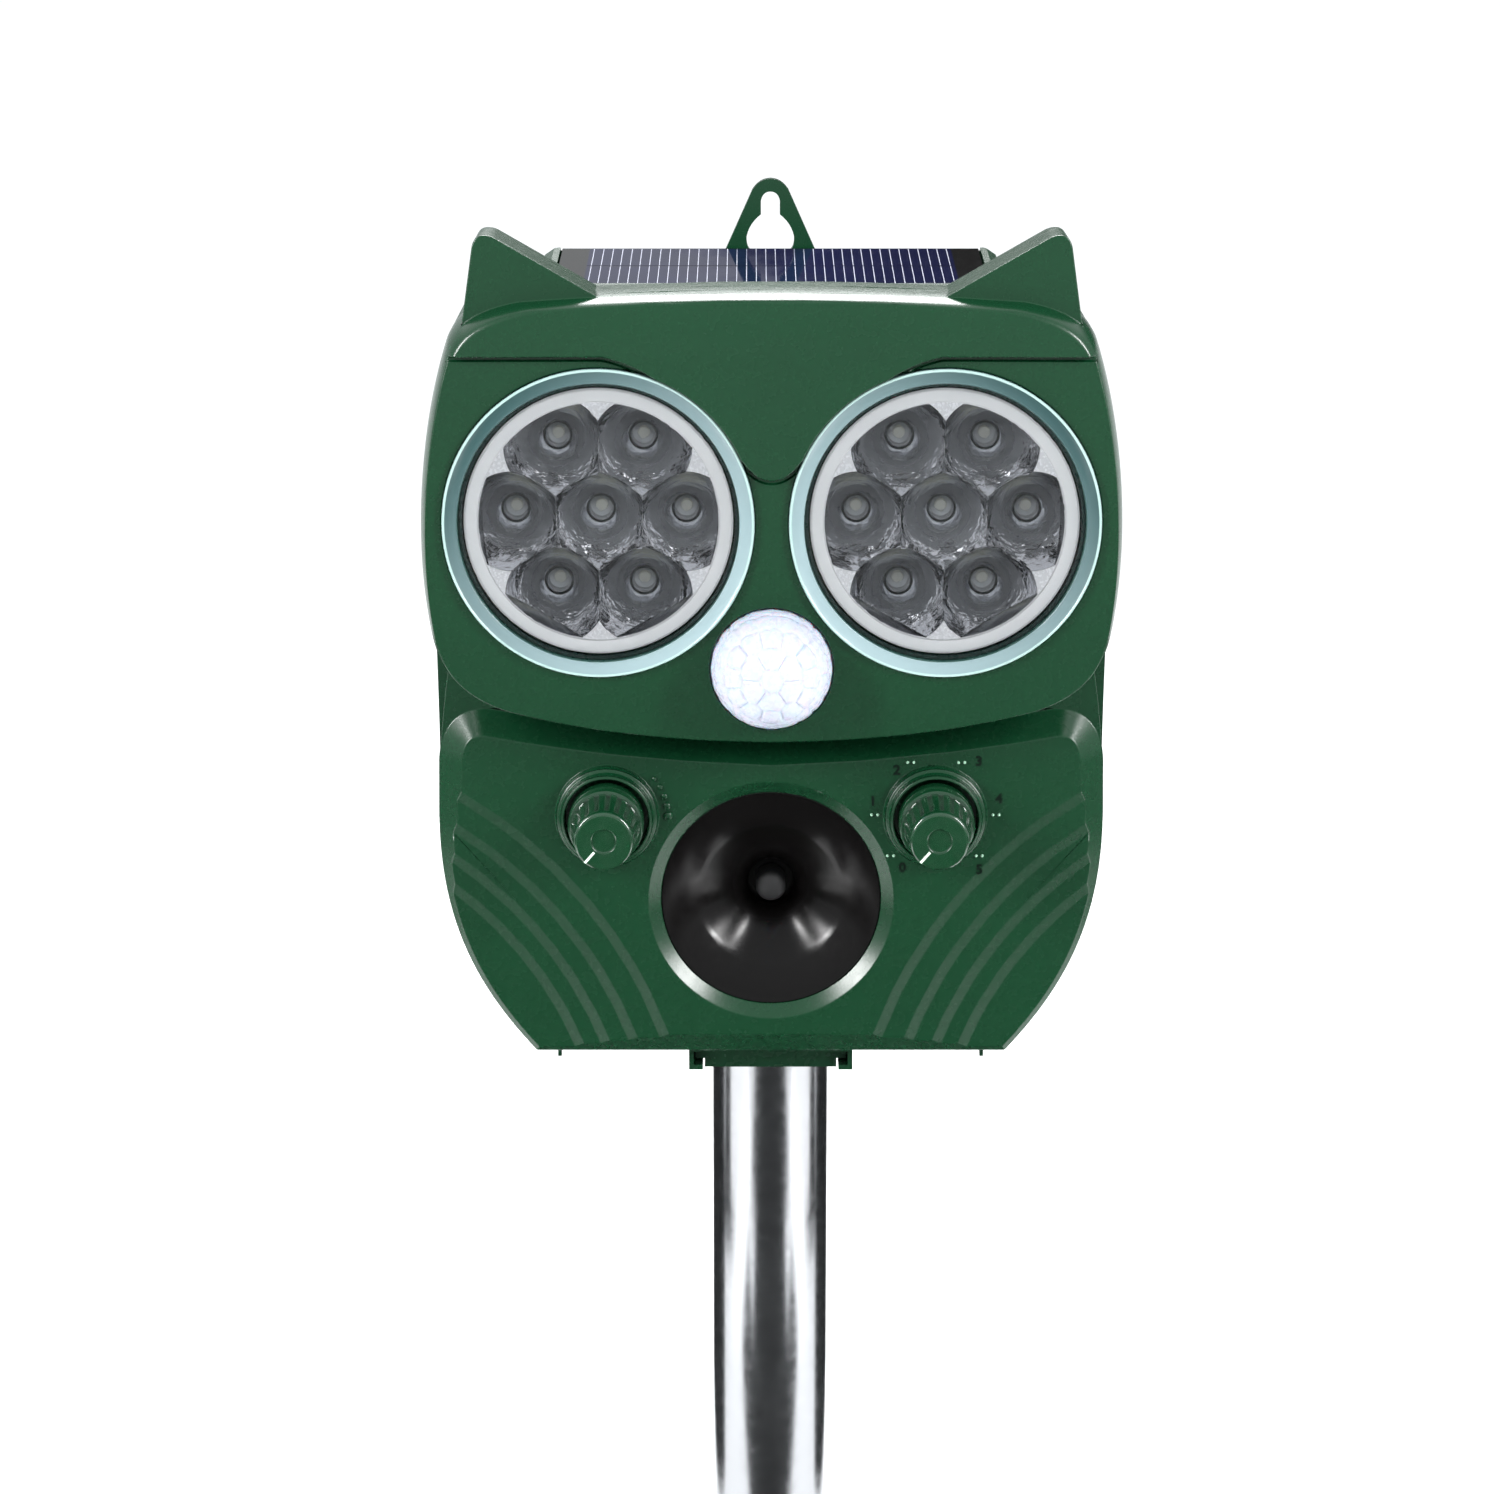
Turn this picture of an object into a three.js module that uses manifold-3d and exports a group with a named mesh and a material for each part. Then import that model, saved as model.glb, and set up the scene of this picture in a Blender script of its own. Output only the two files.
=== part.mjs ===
// Owl-shaped solar ultrasonic pest repeller on a ground stake.
// Units are millimetres. +Z is up, the owl faces -Y, and the origin lies on the stake's axis
// at the underside of the ground spike's flange, where the soil starts.
import * as THREE from 'three';
import { mergeVertices } from 'three/addons/utils/BufferGeometryUtils.js';
import Module from 'manifold-3d';

const wasm = await Module();
wasm.setup();

// Driving dimensions.
const HOUSING_Z = 118; // height of the housing's flat bottom above the soil
const WALL = 2; // moulded wall thickness
const GAP = 0.3; // clearance between neighbouring pieces
const BROW_Y = -37.5; // front of the raised brow plate
const FACE_Y = -36; // front of the plate round the eyes
const CHEST_Y = -29; // front of the chest panel
const CHAMFER_Y = -25; // where the chest panel's chamfer meets the side wall
const SPLIT_Y = -18; // parting plane between the front covers and the rear case
const REAR_Y = 38; // back of the rear case
const CASE_TOP = 154; // top of the rear case, above the housing's bottom
const SOLAR_TILT = THREE.MathUtils.degToRad(3.7); // the solar panel leans forward
const EYE = { x: 34.3, z: 112.8, hole: 31.1 };
const CUP = { pitch: 17.2, mouth: 10, throat: 2.9, front: -33.5, back: -18.5, rim: 23.7 };
const FEATHERS = { x: 114, z: -28, radii: [97.7, 91.3, 85.6, 80.3], step: 0.75 };
const KNOB = { base: -32, skirt: -38, top: -49 };
const SENSOR = { z: 83.4, dome: 12.1 };
const SPEAKER = { z: 33.3, bezel: 25, mouth: 22.4 };
const DIAL = { x: 33.3, z: 51.3, hole: 3.7 };
const TUBE = { radius: 12.25, wall: 1.2, bottom: 3.3, top: 111.7 };
const SPIKE_LENGTH = 105;
const SCREWS = [
  [-58, 142],
  [58, 142],
  [-58.5, 87],
  [58.5, 87],
  [-53, 20],
  [53, 20],
];
const SIDES = [
  { name: 'left', sign: -1 },
  { name: 'right', sign: 1 },
];

// Materials.
const finish = (color, roughness, metalness = 0) =>
  new THREE.MeshStandardMaterial({ color, roughness, metalness });
const GREEN = finish(0x29553a, 0.45);
const DARK_GREEN = finish(0x254947, 0.4);
const BLACK = finish(0x14120f, 0.3);
const STEEL = finish(0xb8b8b8, 0.18, 1);
const CHROME = finish(0xe0e0e0, 0.06, 1);
const RING = finish(0x6f8f94, 0.25);
const CLEAR = new THREE.MeshStandardMaterial({
  color: 0xf2f6f8,
  roughness: 0.05,
  transparent: true,
  opacity: 0.35,
});
const MILK = finish(0xebeef7, 0.35);
const BOARD = finish(0x1f6b3a, 0.6);
const CELL = finish(0x27284a, 0.2);
const COPPER = finish(0xb87333, 0.4, 1);
const RED = finish(0xa02020, 0.5);

// Solids: closed geometry in and out of manifold-3d, which joins and cuts.
function toSolid(geometry) {
  const bare = geometry.clone();
  bare.deleteAttribute('normal');
  bare.deleteAttribute('uv');
  const merged = mergeVertices(bare, 1e-4);
  const index = merged.index.array;
  const kept = [];
  for (let i = 0; i < index.length; i += 3) {
    const [a, b, c] = [index[i], index[i + 1], index[i + 2]];
    if (a !== b && b !== c && c !== a) kept.push(a, b, c);
  }
  const vertProperties = new Float32Array(merged.attributes.position.array);
  const triVerts = new Uint32Array(kept);
  return new wasm.Manifold(new wasm.Mesh({ numProp: 3, vertProperties, triVerts }));
}

function toGeometry(body) {
  const { vertProperties, triVerts } = body.getMesh();
  const geometry = new THREE.BufferGeometry();
  geometry.setAttribute('position', new THREE.BufferAttribute(vertProperties, 3));
  geometry.setIndex(new THREE.BufferAttribute(triVerts, 1));
  geometry.computeVertexNormals();
  return geometry;
}

const join = (...bodies) => bodies.reduce((whole, body) => whole.add(body));
const cut = (body, ...tools) => tools.reduce((rest, tool) => rest.subtract(tool), body);

// A box from its low and high corners.
function box([x0, y0, z0], [x1, y1, z1]) {
  const geometry = new THREE.BoxGeometry(x1 - x0, y1 - y0, z1 - z0);
  geometry.translate((x0 + x1) / 2, (y0 + y1) / 2, (z0 + z1) / 2);
  return toSolid(geometry);
}

// A round bar or cone along Y, from the front radius at yFront to the back radius at yBack.
function bar(x, z, yFront, yBack, frontRadius, backRadius = frontRadius, segments = 24) {
  const length = yBack - yFront;
  const geometry = new THREE.CylinderGeometry(backRadius, frontRadius, length, segments);
  geometry.translate(x, (yFront + yBack) / 2, z);
  return toSolid(geometry);
}

// A turned body about the Y axis through (x, z), from a profile of [radius, y] pairs.
function turned(x, z, profile, segments = 32) {
  const points = profile.map(([radius, y]) => new THREE.Vector2(radius, y));
  if (THREE.ShapeUtils.area(points) < 0) points.reverse();
  points.push(points[0].clone());
  const geometry = new THREE.LatheGeometry(points, segments);
  geometry.translate(x, 0, z);
  return toSolid(geometry);
}

// A turned body about the Z axis.
function turnedUp(profile, segments = 32) {
  const points = profile.map(([radius, z]) => new THREE.Vector2(radius, z));
  if (THREE.ShapeUtils.area(points) < 0) points.reverse();
  points.push(points[0].clone());
  return toSolid(new THREE.LatheGeometry(points, segments).rotateX(Math.PI / 2));
}

// Outlines are lists of points in the front view, x to the right and z up.
function mirrored(divisions, draw) {
  const half = new THREE.Path();
  draw(half);
  const left = half.getPoints(divisions);
  const right = left.slice(1, -1).reverse();
  return [...left, ...right.map((point) => new THREE.Vector2(-point.x, point.y))];
}

// The same outline moved inwards by a distance, or outwards by a negative one.
function inset(points, distance) {
  const turn = Math.sign(THREE.ShapeUtils.area(points));
  return points.map((point, i) => {
    const before = points[(i + points.length - 1) % points.length];
    const after = points[(i + 1) % points.length];
    const into = point.clone().sub(before).normalize();
    const out = after.clone().sub(point).normalize();
    const along = into.clone().add(out).normalize();
    const miter = distance / Math.max(0.5, along.dot(into));
    return new THREE.Vector2(point.x - turn * miter * along.y, point.y + turn * miter * along.x);
  });
}

// A plate of the outline between two depths.
function plate(points, yFront, yBack) {
  const shape = new THREE.Shape(points);
  const depth = yBack - yFront;
  const geometry = new THREE.ExtrudeGeometry(shape, { depth, bevelEnabled: false });
  return toSolid(geometry.rotateX(Math.PI / 2).translate(0, yBack, 0));
}

// A closed body through rings with as many points as each other, from front to back.
function loft(rings) {
  const count = rings[0].points.length;
  const turn = Math.sign(THREE.ShapeUtils.area(rings[0].points));
  const ordered = rings.map(({ points, y }) => ({ points: turn < 0 ? [...points].reverse() : points, y }));
  const positions = ordered.flatMap(({ points, y }) => points.flatMap((point) => [point.x, y, point.y]));
  const index = [];
  for (let start = 0; start + count < positions.length / 3; start += count) {
    for (let i = 0; i < count; i += 1) {
      const [a, b] = [start + i, start + ((i + 1) % count)];
      index.push(a, a + count, b, b, a + count, b + count);
    }
  }
  const last = (rings.length - 1) * count;
  for (const [a, b, c] of THREE.ShapeUtils.triangulateShape(ordered[0].points, [])) index.push(a, b, c);
  for (const [a, b, c] of THREE.ShapeUtils.triangulateShape(ordered[rings.length - 1].points, [])) {
    index.push(last + a, last + c, last + b);
  }
  const geometry = new THREE.BufferGeometry();
  geometry.setAttribute('position', new THREE.Float32BufferAttribute(positions, 3));
  geometry.setIndex(index);
  return toSolid(geometry);
}

// A plate whose front edge (or back edge) is bevelled, size wide and deep along Y.
function bevelled(points, yFront, yBack, { size, deep, segments, end }) {
  const geometry = new THREE.ExtrudeGeometry(new THREE.Shape(points), {
    depth: yBack - yFront - deep,
    bevelEnabled: true,
    bevelThickness: deep,
    bevelSize: size,
    bevelOffset: -size,
    bevelSegments: segments,
  });
  const start = end === 'front' ? yBack : yBack - deep;
  const body = toSolid(geometry.rotateX(Math.PI / 2).translate(0, start, 0));
  return body.intersect(box([-200, yFront, -200], [200, yBack, 400]));
}

// A thin lead along a smooth path.
function lead(points, radius, steps) {
  const ring = new THREE.Shape().absarc(0, 0, radius, 0, Math.PI * 2);
  const path = new THREE.CatmullRomCurve3(points.map((point) => new THREE.Vector3(...point)));
  const geometry = new THREE.ExtrudeGeometry(ring, {
    steps,
    curveSegments: 3,
    extrudePath: path,
    bevelEnabled: false,
  });
  return toSolid(geometry);
}

// The housing's outlines. The head is narrower at its front than where it meets the rear case.
const headFront = mirrored(7, (half) => {
  half.moveTo(0, 68.3);
  half.quadraticCurveTo(-30, 68.6, -52, 74.4);
  half.quadraticCurveTo(-63.5, 77.8, -65.6, 88);
  half.bezierCurveTo(-68.8, 104, -67.5, 128, -61.8, 146);
  half.quadraticCurveTo(-58.5, 152.5, -45, 154.8);
  half.quadraticCurveTo(-25, 156.6, 0, 156.6);
});

// The widest part of the housing's side, from the jaw up to the temple.
function temple(half) {
  half.bezierCurveTo(-71.3, 104, -71, 128, -64.2, 148.5);
}

const headBack = mirrored(7, (half) => {
  half.moveTo(0, 68.3);
  half.quadraticCurveTo(-30, 68.6, -52, 74.4);
  half.quadraticCurveTo(-66, 78.6, -68.2, 89.5);
  temple(half);
  half.quadraticCurveTo(-61.5, 155, -50.9, 156.8);
  half.quadraticCurveTo(-25, 158.6, 0, 158.6);
});

// The head's outline a share of the way from its front to its back.
const headRing = (share) => headFront.map((point, i) => point.clone().lerp(headBack[i], share));

// The chest's side, from the flat bottom up to where it stands straight.
function chestSide(half) {
  half.moveTo(0, 0);
  half.lineTo(-48.4, 0);
  half.bezierCurveTo(-60, 13, -67.7, 27, -67.7, 50);
}

const chestOutline = mirrored(6, (half) => {
  chestSide(half);
  half.quadraticCurveTo(-67.7, 66, -64.8, 84);
  half.lineTo(-55, 90);
  half.lineTo(0, 90);
});

const chestPanelOutline = mirrored(6, (half) => {
  chestSide(half);
  half.lineTo(-67.3, 62);
  half.quadraticCurveTo(-66.8, 72.8, -57.5, 72.6);
  half.quadraticCurveTo(-30, 67.5, 0, 66.5);
});

const rearOutline = mirrored(7, (half) => {
  chestSide(half);
  half.quadraticCurveTo(-67.8, 72, -68.2, 89.5);
  temple(half);
  half.lineTo(-47, CASE_TOP);
  half.lineTo(0, CASE_TOP);
});

// Everything below the brow line, where the face sits back from the brow plate.
const underBrow = mirrored(7, (half) => {
  half.moveTo(0, 50);
  half.lineTo(-80, 50);
  half.lineTo(-80, 146);
  half.lineTo(-33.4, 146.1);
  half.bezierCurveTo(-22, 144, -12, 133, -5, 124.4);
  half.quadraticCurveTo(-2.6, 121.6, 0, 121.6);
});

const earOutline = (sign) =>
  [
    [-61.4, 148],
    [-58.7, 166.7],
    [-57.9, 168.7],
    [-56.2, 169.4],
    [-54.2, 168.9],
    [-33.5, 157],
    [-36, 154.5],
    [-56, 151],
  ].map(([x, z]) => new THREE.Vector2(-sign * x, z));

function headCover() {
  const back = SPLIT_Y - GAP;
  const ears = SIDES.map(({ sign }) => plate(earOutline(sign), -33, back));
  const skin = loft([
    { points: headRing(0), y: BROW_Y },
    { points: headRing(0.35), y: BROW_Y + 0.9 },
    { points: headRing(0.75), y: BROW_Y + 4.5 },
    { points: headRing(1), y: BROW_Y + 12 },
    { points: headRing(1), y: back },
  ]);
  const hollow = loft([
    { points: inset(headRing(0.6), WALL), y: FACE_Y + WALL },
    { points: inset(headRing(1), WALL), y: BROW_Y + 12 },
    { points: inset(headRing(1), WALL), y: 0 },
  ]);
  const browGroove = cut(plate(underBrow, -60, FACE_Y + 0.7), plate(inset(underBrow, 0.9), -61, 0));
  const eyeHoles = SIDES.map(({ sign }) => bar(sign * EYE.x, EYE.z, -50, -30, EYE.hole, EYE.hole, 40));
  const sensorHole = bar(0, SENSOR.z, -50, -30, SENSOR.dome + GAP, SENSOR.dome + GAP, 28);
  const posts = SCREWS.slice(0, 4).map(([x, z]) => bar(x, z, FACE_Y + 1, back, 3.2, 3.2, 12));
  const pilots = SCREWS.slice(0, 4).map(([x, z]) => bar(x, z, -30, 0, 1.6, 1.6, 8));
  const open = cut(join(skin, ...ears), plate(underBrow, -60, FACE_Y), browGroove, hollow);
  return cut(join(open, ...posts), ...eyeHoles, sensorHole, ...pilots);
}

// The feathers: discs about a centre outside the chest, each one step lower than the last.
function feathers() {
  return SIDES.flatMap(({ sign }) =>
    FEATHERS.radii.map((radius, i) => {
      const top = CHEST_Y + i * FEATHERS.step;
      const bottom = top + FEATHERS.step;
      const [x, z] = [sign * FEATHERS.x, FEATHERS.z];
      return join(bar(x, z, -40, top, radius + 1, radius + 1, 72), bar(x, z, top, bottom, radius + 1, radius - 1, 72));
    }),
  );
}

// Small raised dots round the dials: a scale of six, and a row of five that grow.
function dialDots() {
  const dots = [];
  const dot = (x, angle, radius) => {
    const turn = THREE.MathUtils.degToRad(angle);
    const across = x + 12.3 * Math.sin(turn);
    const up = DIAL.z + 12.3 * Math.cos(turn);
    dots.push(bar(across, up, CHEST_Y - 0.5, CHEST_Y + 0.5, radius, radius, 6));
  };
  for (const angle of [-133, -89, -24.5, 25, 89, 133]) dot(DIAL.x, angle, 0.9);
  for (let i = 0; i < 5; i += 1) dot(-DIAL.x, 51 + 9.8 * i, 0.5 + 0.15 * i);
  return dots;
}

function chestCover() {
  const back = SPLIT_Y - GAP;
  const chamfer = { size: 4.7, deep: CHAMFER_Y - CHEST_Y, segments: 1, end: 'front' };
  const panel = bevelled(chestPanelOutline, CHEST_Y, CHAMFER_Y + 1, chamfer);
  const body = plate(chestOutline, CHAMFER_Y, back);
  const head = plate(inset(headBack, -GAP), -60, 0);
  const hollow = plate(inset(chestOutline, WALL), CHAMFER_Y + WALL, 0);
  const thick = SIDES.map(({ sign }) => bar(sign * FEATHERS.x, FEATHERS.z, -40, 0, 100, 100, 72));
  const panelHollow = cut(plate(inset(chestPanelOutline, 6.5), CHEST_Y + WALL, 0), ...thick);
  const bosses = SIDES.map(({ sign }) => bar(sign * DIAL.x, DIAL.z, CHEST_Y - 4, CHEST_Y + 0.5, 9.4, 10.5));
  const posts = SCREWS.slice(4).map(([x, z]) => bar(x, z, CHAMFER_Y + 0.5, back, 3.2, 3.2, 12));
  const pilots = SCREWS.slice(4).map(([x, z]) => bar(x, z, CHAMFER_Y + 1.2, 0, 1.6, 1.6, 8));
  const wells = SIDES.map(({ sign }) => bar(sign * DIAL.x, DIAL.z, CHEST_Y - 5, CHEST_Y, 8.5));
  const holes = SIDES.map(({ sign }) => bar(sign * DIAL.x, DIAL.z, -40, -20, DIAL.hole, DIAL.hole, 16));
  const bezel = bar(0, SPEAKER.z, CHEST_Y - 1, CHEST_Y + 2, SPEAKER.bezel + 1.3, SPEAKER.mouth, 32);
  const mouth = bar(0, SPEAKER.z, CHEST_Y, -20, SPEAKER.mouth, SPEAKER.mouth, 32);
  const shell = cut(join(body, panel), hollow, panelHollow, head, ...feathers());
  const dressed = join(shell, ...bosses, ...posts, ...dialDots());
  return cut(dressed, ...wells, ...holes, ...pilots, bezel, mouth);
}

// The rail under the housing that slides onto the stake's plate, open at the front.
function rail() {
  const outer = box([-17, -21.5, -5.4], [17, 16.3, -GAP]);
  const web = box([-17, SPLIT_Y, -1], [17, 16.3, 1]);
  const channel = box([-16, -30, -4.4], [16, 14.3, -1.5]);
  const slot = box([-14.1, -30, -6], [14.1, 14.3, -4]);
  return cut(join(outer, web), channel, slot);
}

const USB = { x: 30, z: 112, wide: 15, tall: 9, deep: 2.6 };

function rearCase() {
  const bevel = { size: 2.5, deep: 2.5, segments: 2, end: 'rear' };
  const shell = bevelled(rearOutline, SPLIT_Y, REAR_Y, bevel);
  const hollow = plate(inset(rearOutline, WALL + 0.4), -40, REAR_Y - WALL);
  const bosses = SCREWS.map(([x, z]) => bar(x, z, SPLIT_Y, REAR_Y - 1, 4.4, 4.4, 14));
  const wells = SCREWS.map(([x, z]) => bar(x, z, -12, REAR_Y + 1, 3.2, 3.2, 12));
  const bores = SCREWS.map(([x, z]) => bar(x, z, SPLIT_Y - 1, 0, 1.7, 1.7, 8));
  const posts = [-38, 38].flatMap((x) =>
    [46, 94].map((z) => bar(x, z, 14, REAR_Y - 1, 3, 3, 8)),
  );
  const ribs = [-44, 44].map((x) => box([x - 0.4, SPLIT_Y, -3.6], [x + 0.4, 30, 1]));
  const usbBlock = box([USB.x - 10, 32, USB.z - 7], [USB.x + 10, REAR_Y - 1, USB.z + 7]);
  const usbPocket = box(
    [USB.x - USB.wide / 2 - GAP, REAR_Y - USB.deep - GAP, USB.z - USB.tall / 2 - GAP],
    [USB.x + USB.wide / 2 + GAP, REAR_Y + 1, USB.z + USB.tall / 2 + GAP],
  );
  const usbHole = box([USB.x - 4.8, 30, USB.z - 2.1], [USB.x + 4.8, REAR_Y, USB.z + 2.1]);
  const tabSlot = box([-8, 33, CASE_TOP - 4], [8, 36.2, CASE_TOP + 1]);
  const tabBlock = box([-10, 31, CASE_TOP - 6], [10, REAR_Y - 1, CASE_TOP - 1]);
  const built = join(cut(shell, hollow), ...bosses, ...posts, ...ribs, usbBlock, tabBlock, rail());
  return cut(built, ...wells, ...bores, usbPocket, usbHole, tabSlot);
}

// The keyhole tab that hangs the housing on a wall screw.
function hangerTab() {
  const outline = mirrored(6, (half) => {
    half.moveTo(0, CASE_TOP - 3.7);
    half.lineTo(-7.6, CASE_TOP - 3.7);
    half.lineTo(-7.6, CASE_TOP + GAP);
    half.lineTo(-11.4, CASE_TOP + GAP);
    half.lineTo(-3.8, 171.2);
    half.quadraticCurveTo(-2.2, 173.5, 0, 173.5);
  });
  const keyhole = mirrored(6, (half) => {
    half.moveTo(0, 157.9);
    half.lineTo(-3.2, 157.9);
    half.quadraticCurveTo(-5.2, 158.4, -5, 161.4);
    half.quadraticCurveTo(-4.4, 164.2, -2, 166);
    half.lineTo(-2, 168.9);
    half.quadraticCurveTo(-1.6, 170.8, 0, 170.8);
  });
  return cut(plate(outline, 33.3, 35.9), plate(keyhole, 30, 40));
}

// Solar panel and its frame, made level and then tilted about the panel's front edge.
const SOLAR = { x: 43.9, y: -8, z: 156.6, deep: 39.5, thick: 2 };

function tilted(body) {
  const move = new THREE.Matrix4().makeRotationX(SOLAR_TILT).setPosition(0, SOLAR.y, SOLAR.z);
  return toSolid(toGeometry(body).applyMatrix4(move));
}

function solarFrame() {
  const corner = 3;
  const [x, front, back] = [47.5, -9.2, 40.6];
  const shape = new THREE.Shape();
  shape.absarc(x - corner, back - corner, corner, 0, Math.PI / 2);
  shape.absarc(corner - x, back - corner, corner, Math.PI / 2, Math.PI);
  shape.absarc(corner - x, front + corner, corner, Math.PI, Math.PI * 1.5);
  shape.absarc(x - corner, front + corner, corner, Math.PI * 1.5, Math.PI * 2);
  const geometry = new THREE.ExtrudeGeometry(shape, {
    depth: 6,
    curveSegments: 4,
    bevelThickness: 1.4,
    bevelSize: 2,
    bevelOffset: -2,
    bevelSegments: 1,
  });
  const block = toSolid(geometry.translate(0, 0, -7.1));
  const pocket = box([-SOLAR.x - GAP, -GAP, -3], [SOLAR.x + GAP, SOLAR.deep + GAP, 5]);
  const window = box([-SOLAR.x + 3, 3, -20], [SOLAR.x - 3, SOLAR.deep - 3, 5]);
  const ring = tilted(cut(block, pocket, window));
  return cut(ring, box([-100, -100, 100], [100, 100, CASE_TOP + GAP]), box([-100, 33, 100], [100, 100, 200]));
}

function solarPanel() {
  return tilted(box([-SOLAR.x, 0, -SOLAR.thick], [SOLAR.x, SOLAR.deep, 0]));
}

// One eye's pieces, built about the left or right eye's centre.
function eyeRing(x) {
  return turned(x, EYE.z, [
    [27.9, -36.2],
    [29.6, -37],
    [30.8, -36.6],
    [30.8, FACE_Y + WALL + GAP],
    [31.6, FACE_Y + WALL + GAP],
    [31.6, -32.4],
    [27.1, -32.4],
    [27.1, -33.9],
    [27.9, -33.9],
  ], 32);
}

const eyeLens = (x) => bar(x, EYE.z, -35.4, -34.2, 27.6, 27.6, 32);

// The seven cup centres: one in the middle and six round it.
function cupCentres(x) {
  const around = Array.from({ length: 6 }, (_, i) => {
    const turn = (i * Math.PI) / 3;
    return [x + CUP.pitch * Math.cos(turn), EYE.z + CUP.pitch * Math.sin(turn)];
  });
  return [[x, EYE.z], ...around];
}

function reflector(x) {
  const depth = CUP.back - CUP.front;
  const growth = (CUP.mouth ** 2 - CUP.throat ** 2) / depth;
  const profile = [[0, CUP.back + 2], [CUP.throat, CUP.back + 2]];
  for (const share of [0, 0.12, 0.4, 1]) {
    const back = share * depth;
    profile.push([Math.sqrt(CUP.throat ** 2 + growth * back), CUP.back - back]);
  }
  profile.push([CUP.mouth, CUP.front - 1], [0, CUP.front - 1]);
  const cups = cupCentres(x).map(([cx, cz]) => turned(cx, cz, profile, 12));
  const inside = bar(x, EYE.z, CUP.front - 2, CUP.back + 3, CUP.rim, CUP.rim, 36);
  const rimless = join(...cups).intersect(inside);
  return cut(bar(x, EYE.z, CUP.front, CUP.back + 0.7, 26.8, 26.8, 36), rimless);
}

const ledBoard = (x) => bar(x, EYE.z, -12, -10.4, 25.5, 25.5, 24);

// A 5 mm light-emitting diode, its domed tip towards the front.
function led([x, z]) {
  return turned(x, z, [
    [0, -20.9],
    [1.6, -20.3],
    [2.5, -18.4],
    [2.5, -13.3],
    [2.85, -13.3],
    [2.85, -12.3],
    [0, -12.3],
  ], 10);
}

// The motion sensor's dome, a hollow half ball with a flange behind the face.
function sensorDome() {
  const profile = [];
  const steps = 5;
  for (let i = 0; i <= steps; i += 1) {
    const turn = (i / steps) * (Math.PI / 2);
    profile.push([SENSOR.dome * Math.sin(turn), -35.5 - SENSOR.dome * Math.cos(turn)]);
  }
  profile.push([SENSOR.dome, FACE_Y + WALL + GAP], [12.8, FACE_Y + WALL + GAP], [12.8, -32.6]);
  for (let i = steps; i >= 0; i -= 1) {
    const turn = (i / steps) * (Math.PI / 2);
    const radius = SENSOR.dome - 1;
    profile.push([radius * Math.sin(turn), (i === steps ? -32.6 : -35.5) - radius * Math.cos(turn)]);
  }
  return turned(0, SENSOR.z, profile, 20);
}

function sensorCan() {
  const can = bar(0, SENSOR.z, -36.2, -32.3, 4.1, 4.1, 16);
  const rim = bar(0, SENSOR.z, -32.6, -31.9, 4.7, 4.7, 16);
  return join(can, rim);
}

const sensorBoard = () => box([-11, -31.6, SENSOR.z - 11], [11, -30, SENSOR.z + 11]);

// The ultrasonic speaker: a flared horn, its plug and the driver behind it.
function speakerHorn() {
  const inside = [[22.1, -27.2], [15.5, -25.4], [9.8, -21.5], [6.4, -16.5], [5, -11.3]];
  const outside = [[6.2, -11.3], [7.8, -16.6], [11.4, -20.6], [17, -23.6], [25.6, -25.2], [25.6, -26.7], [22.1, -26.7]];
  return turned(0, SPEAKER.z, [...inside, ...outside], 28);
}

function phasePlug() {
  return turned(0, SPEAKER.z, [[0, -19.6], [1.7, -19.2], [3.1, -17.4], [3.1, -11.3], [0, -11.3]], 16);
}

function speakerDriver() {
  const basket = bar(0, SPEAKER.z, -11, -3, 19, 17, 28);
  const magnet = bar(0, SPEAKER.z, -3.5, 5, 12, 12, 20);
  return join(basket, magnet);
}

// A panel potentiometer: round body, threaded bush and the turning shaft.
function pot(x) {
  const body = bar(x, DIAL.z, -26.7, -17.5, 8, 8, 20);
  const bush = bar(x, DIAL.z, -31, -26, 3.4, 3.4, 16);
  const pins = box([x - 6, -19.5, DIAL.z - 13], [x + 6, -18.7, DIAL.z - 6]);
  const bore = bar(x, DIAL.z, -40, -20, 3.08, 3.08, 20);
  return cut(join(body, bush, pins), bore);
}

function potNut(x) {
  return cut(bar(x, DIAL.z, -31.1, CHEST_Y - GAP, 5.4, 5.4, 6), bar(x, DIAL.z, -40, -20, 3.6, 3.6, 16));
}

const potShaft = (x) => bar(x, DIAL.z, KNOB.top + 3, -21, 3, 3, 16);

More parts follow.
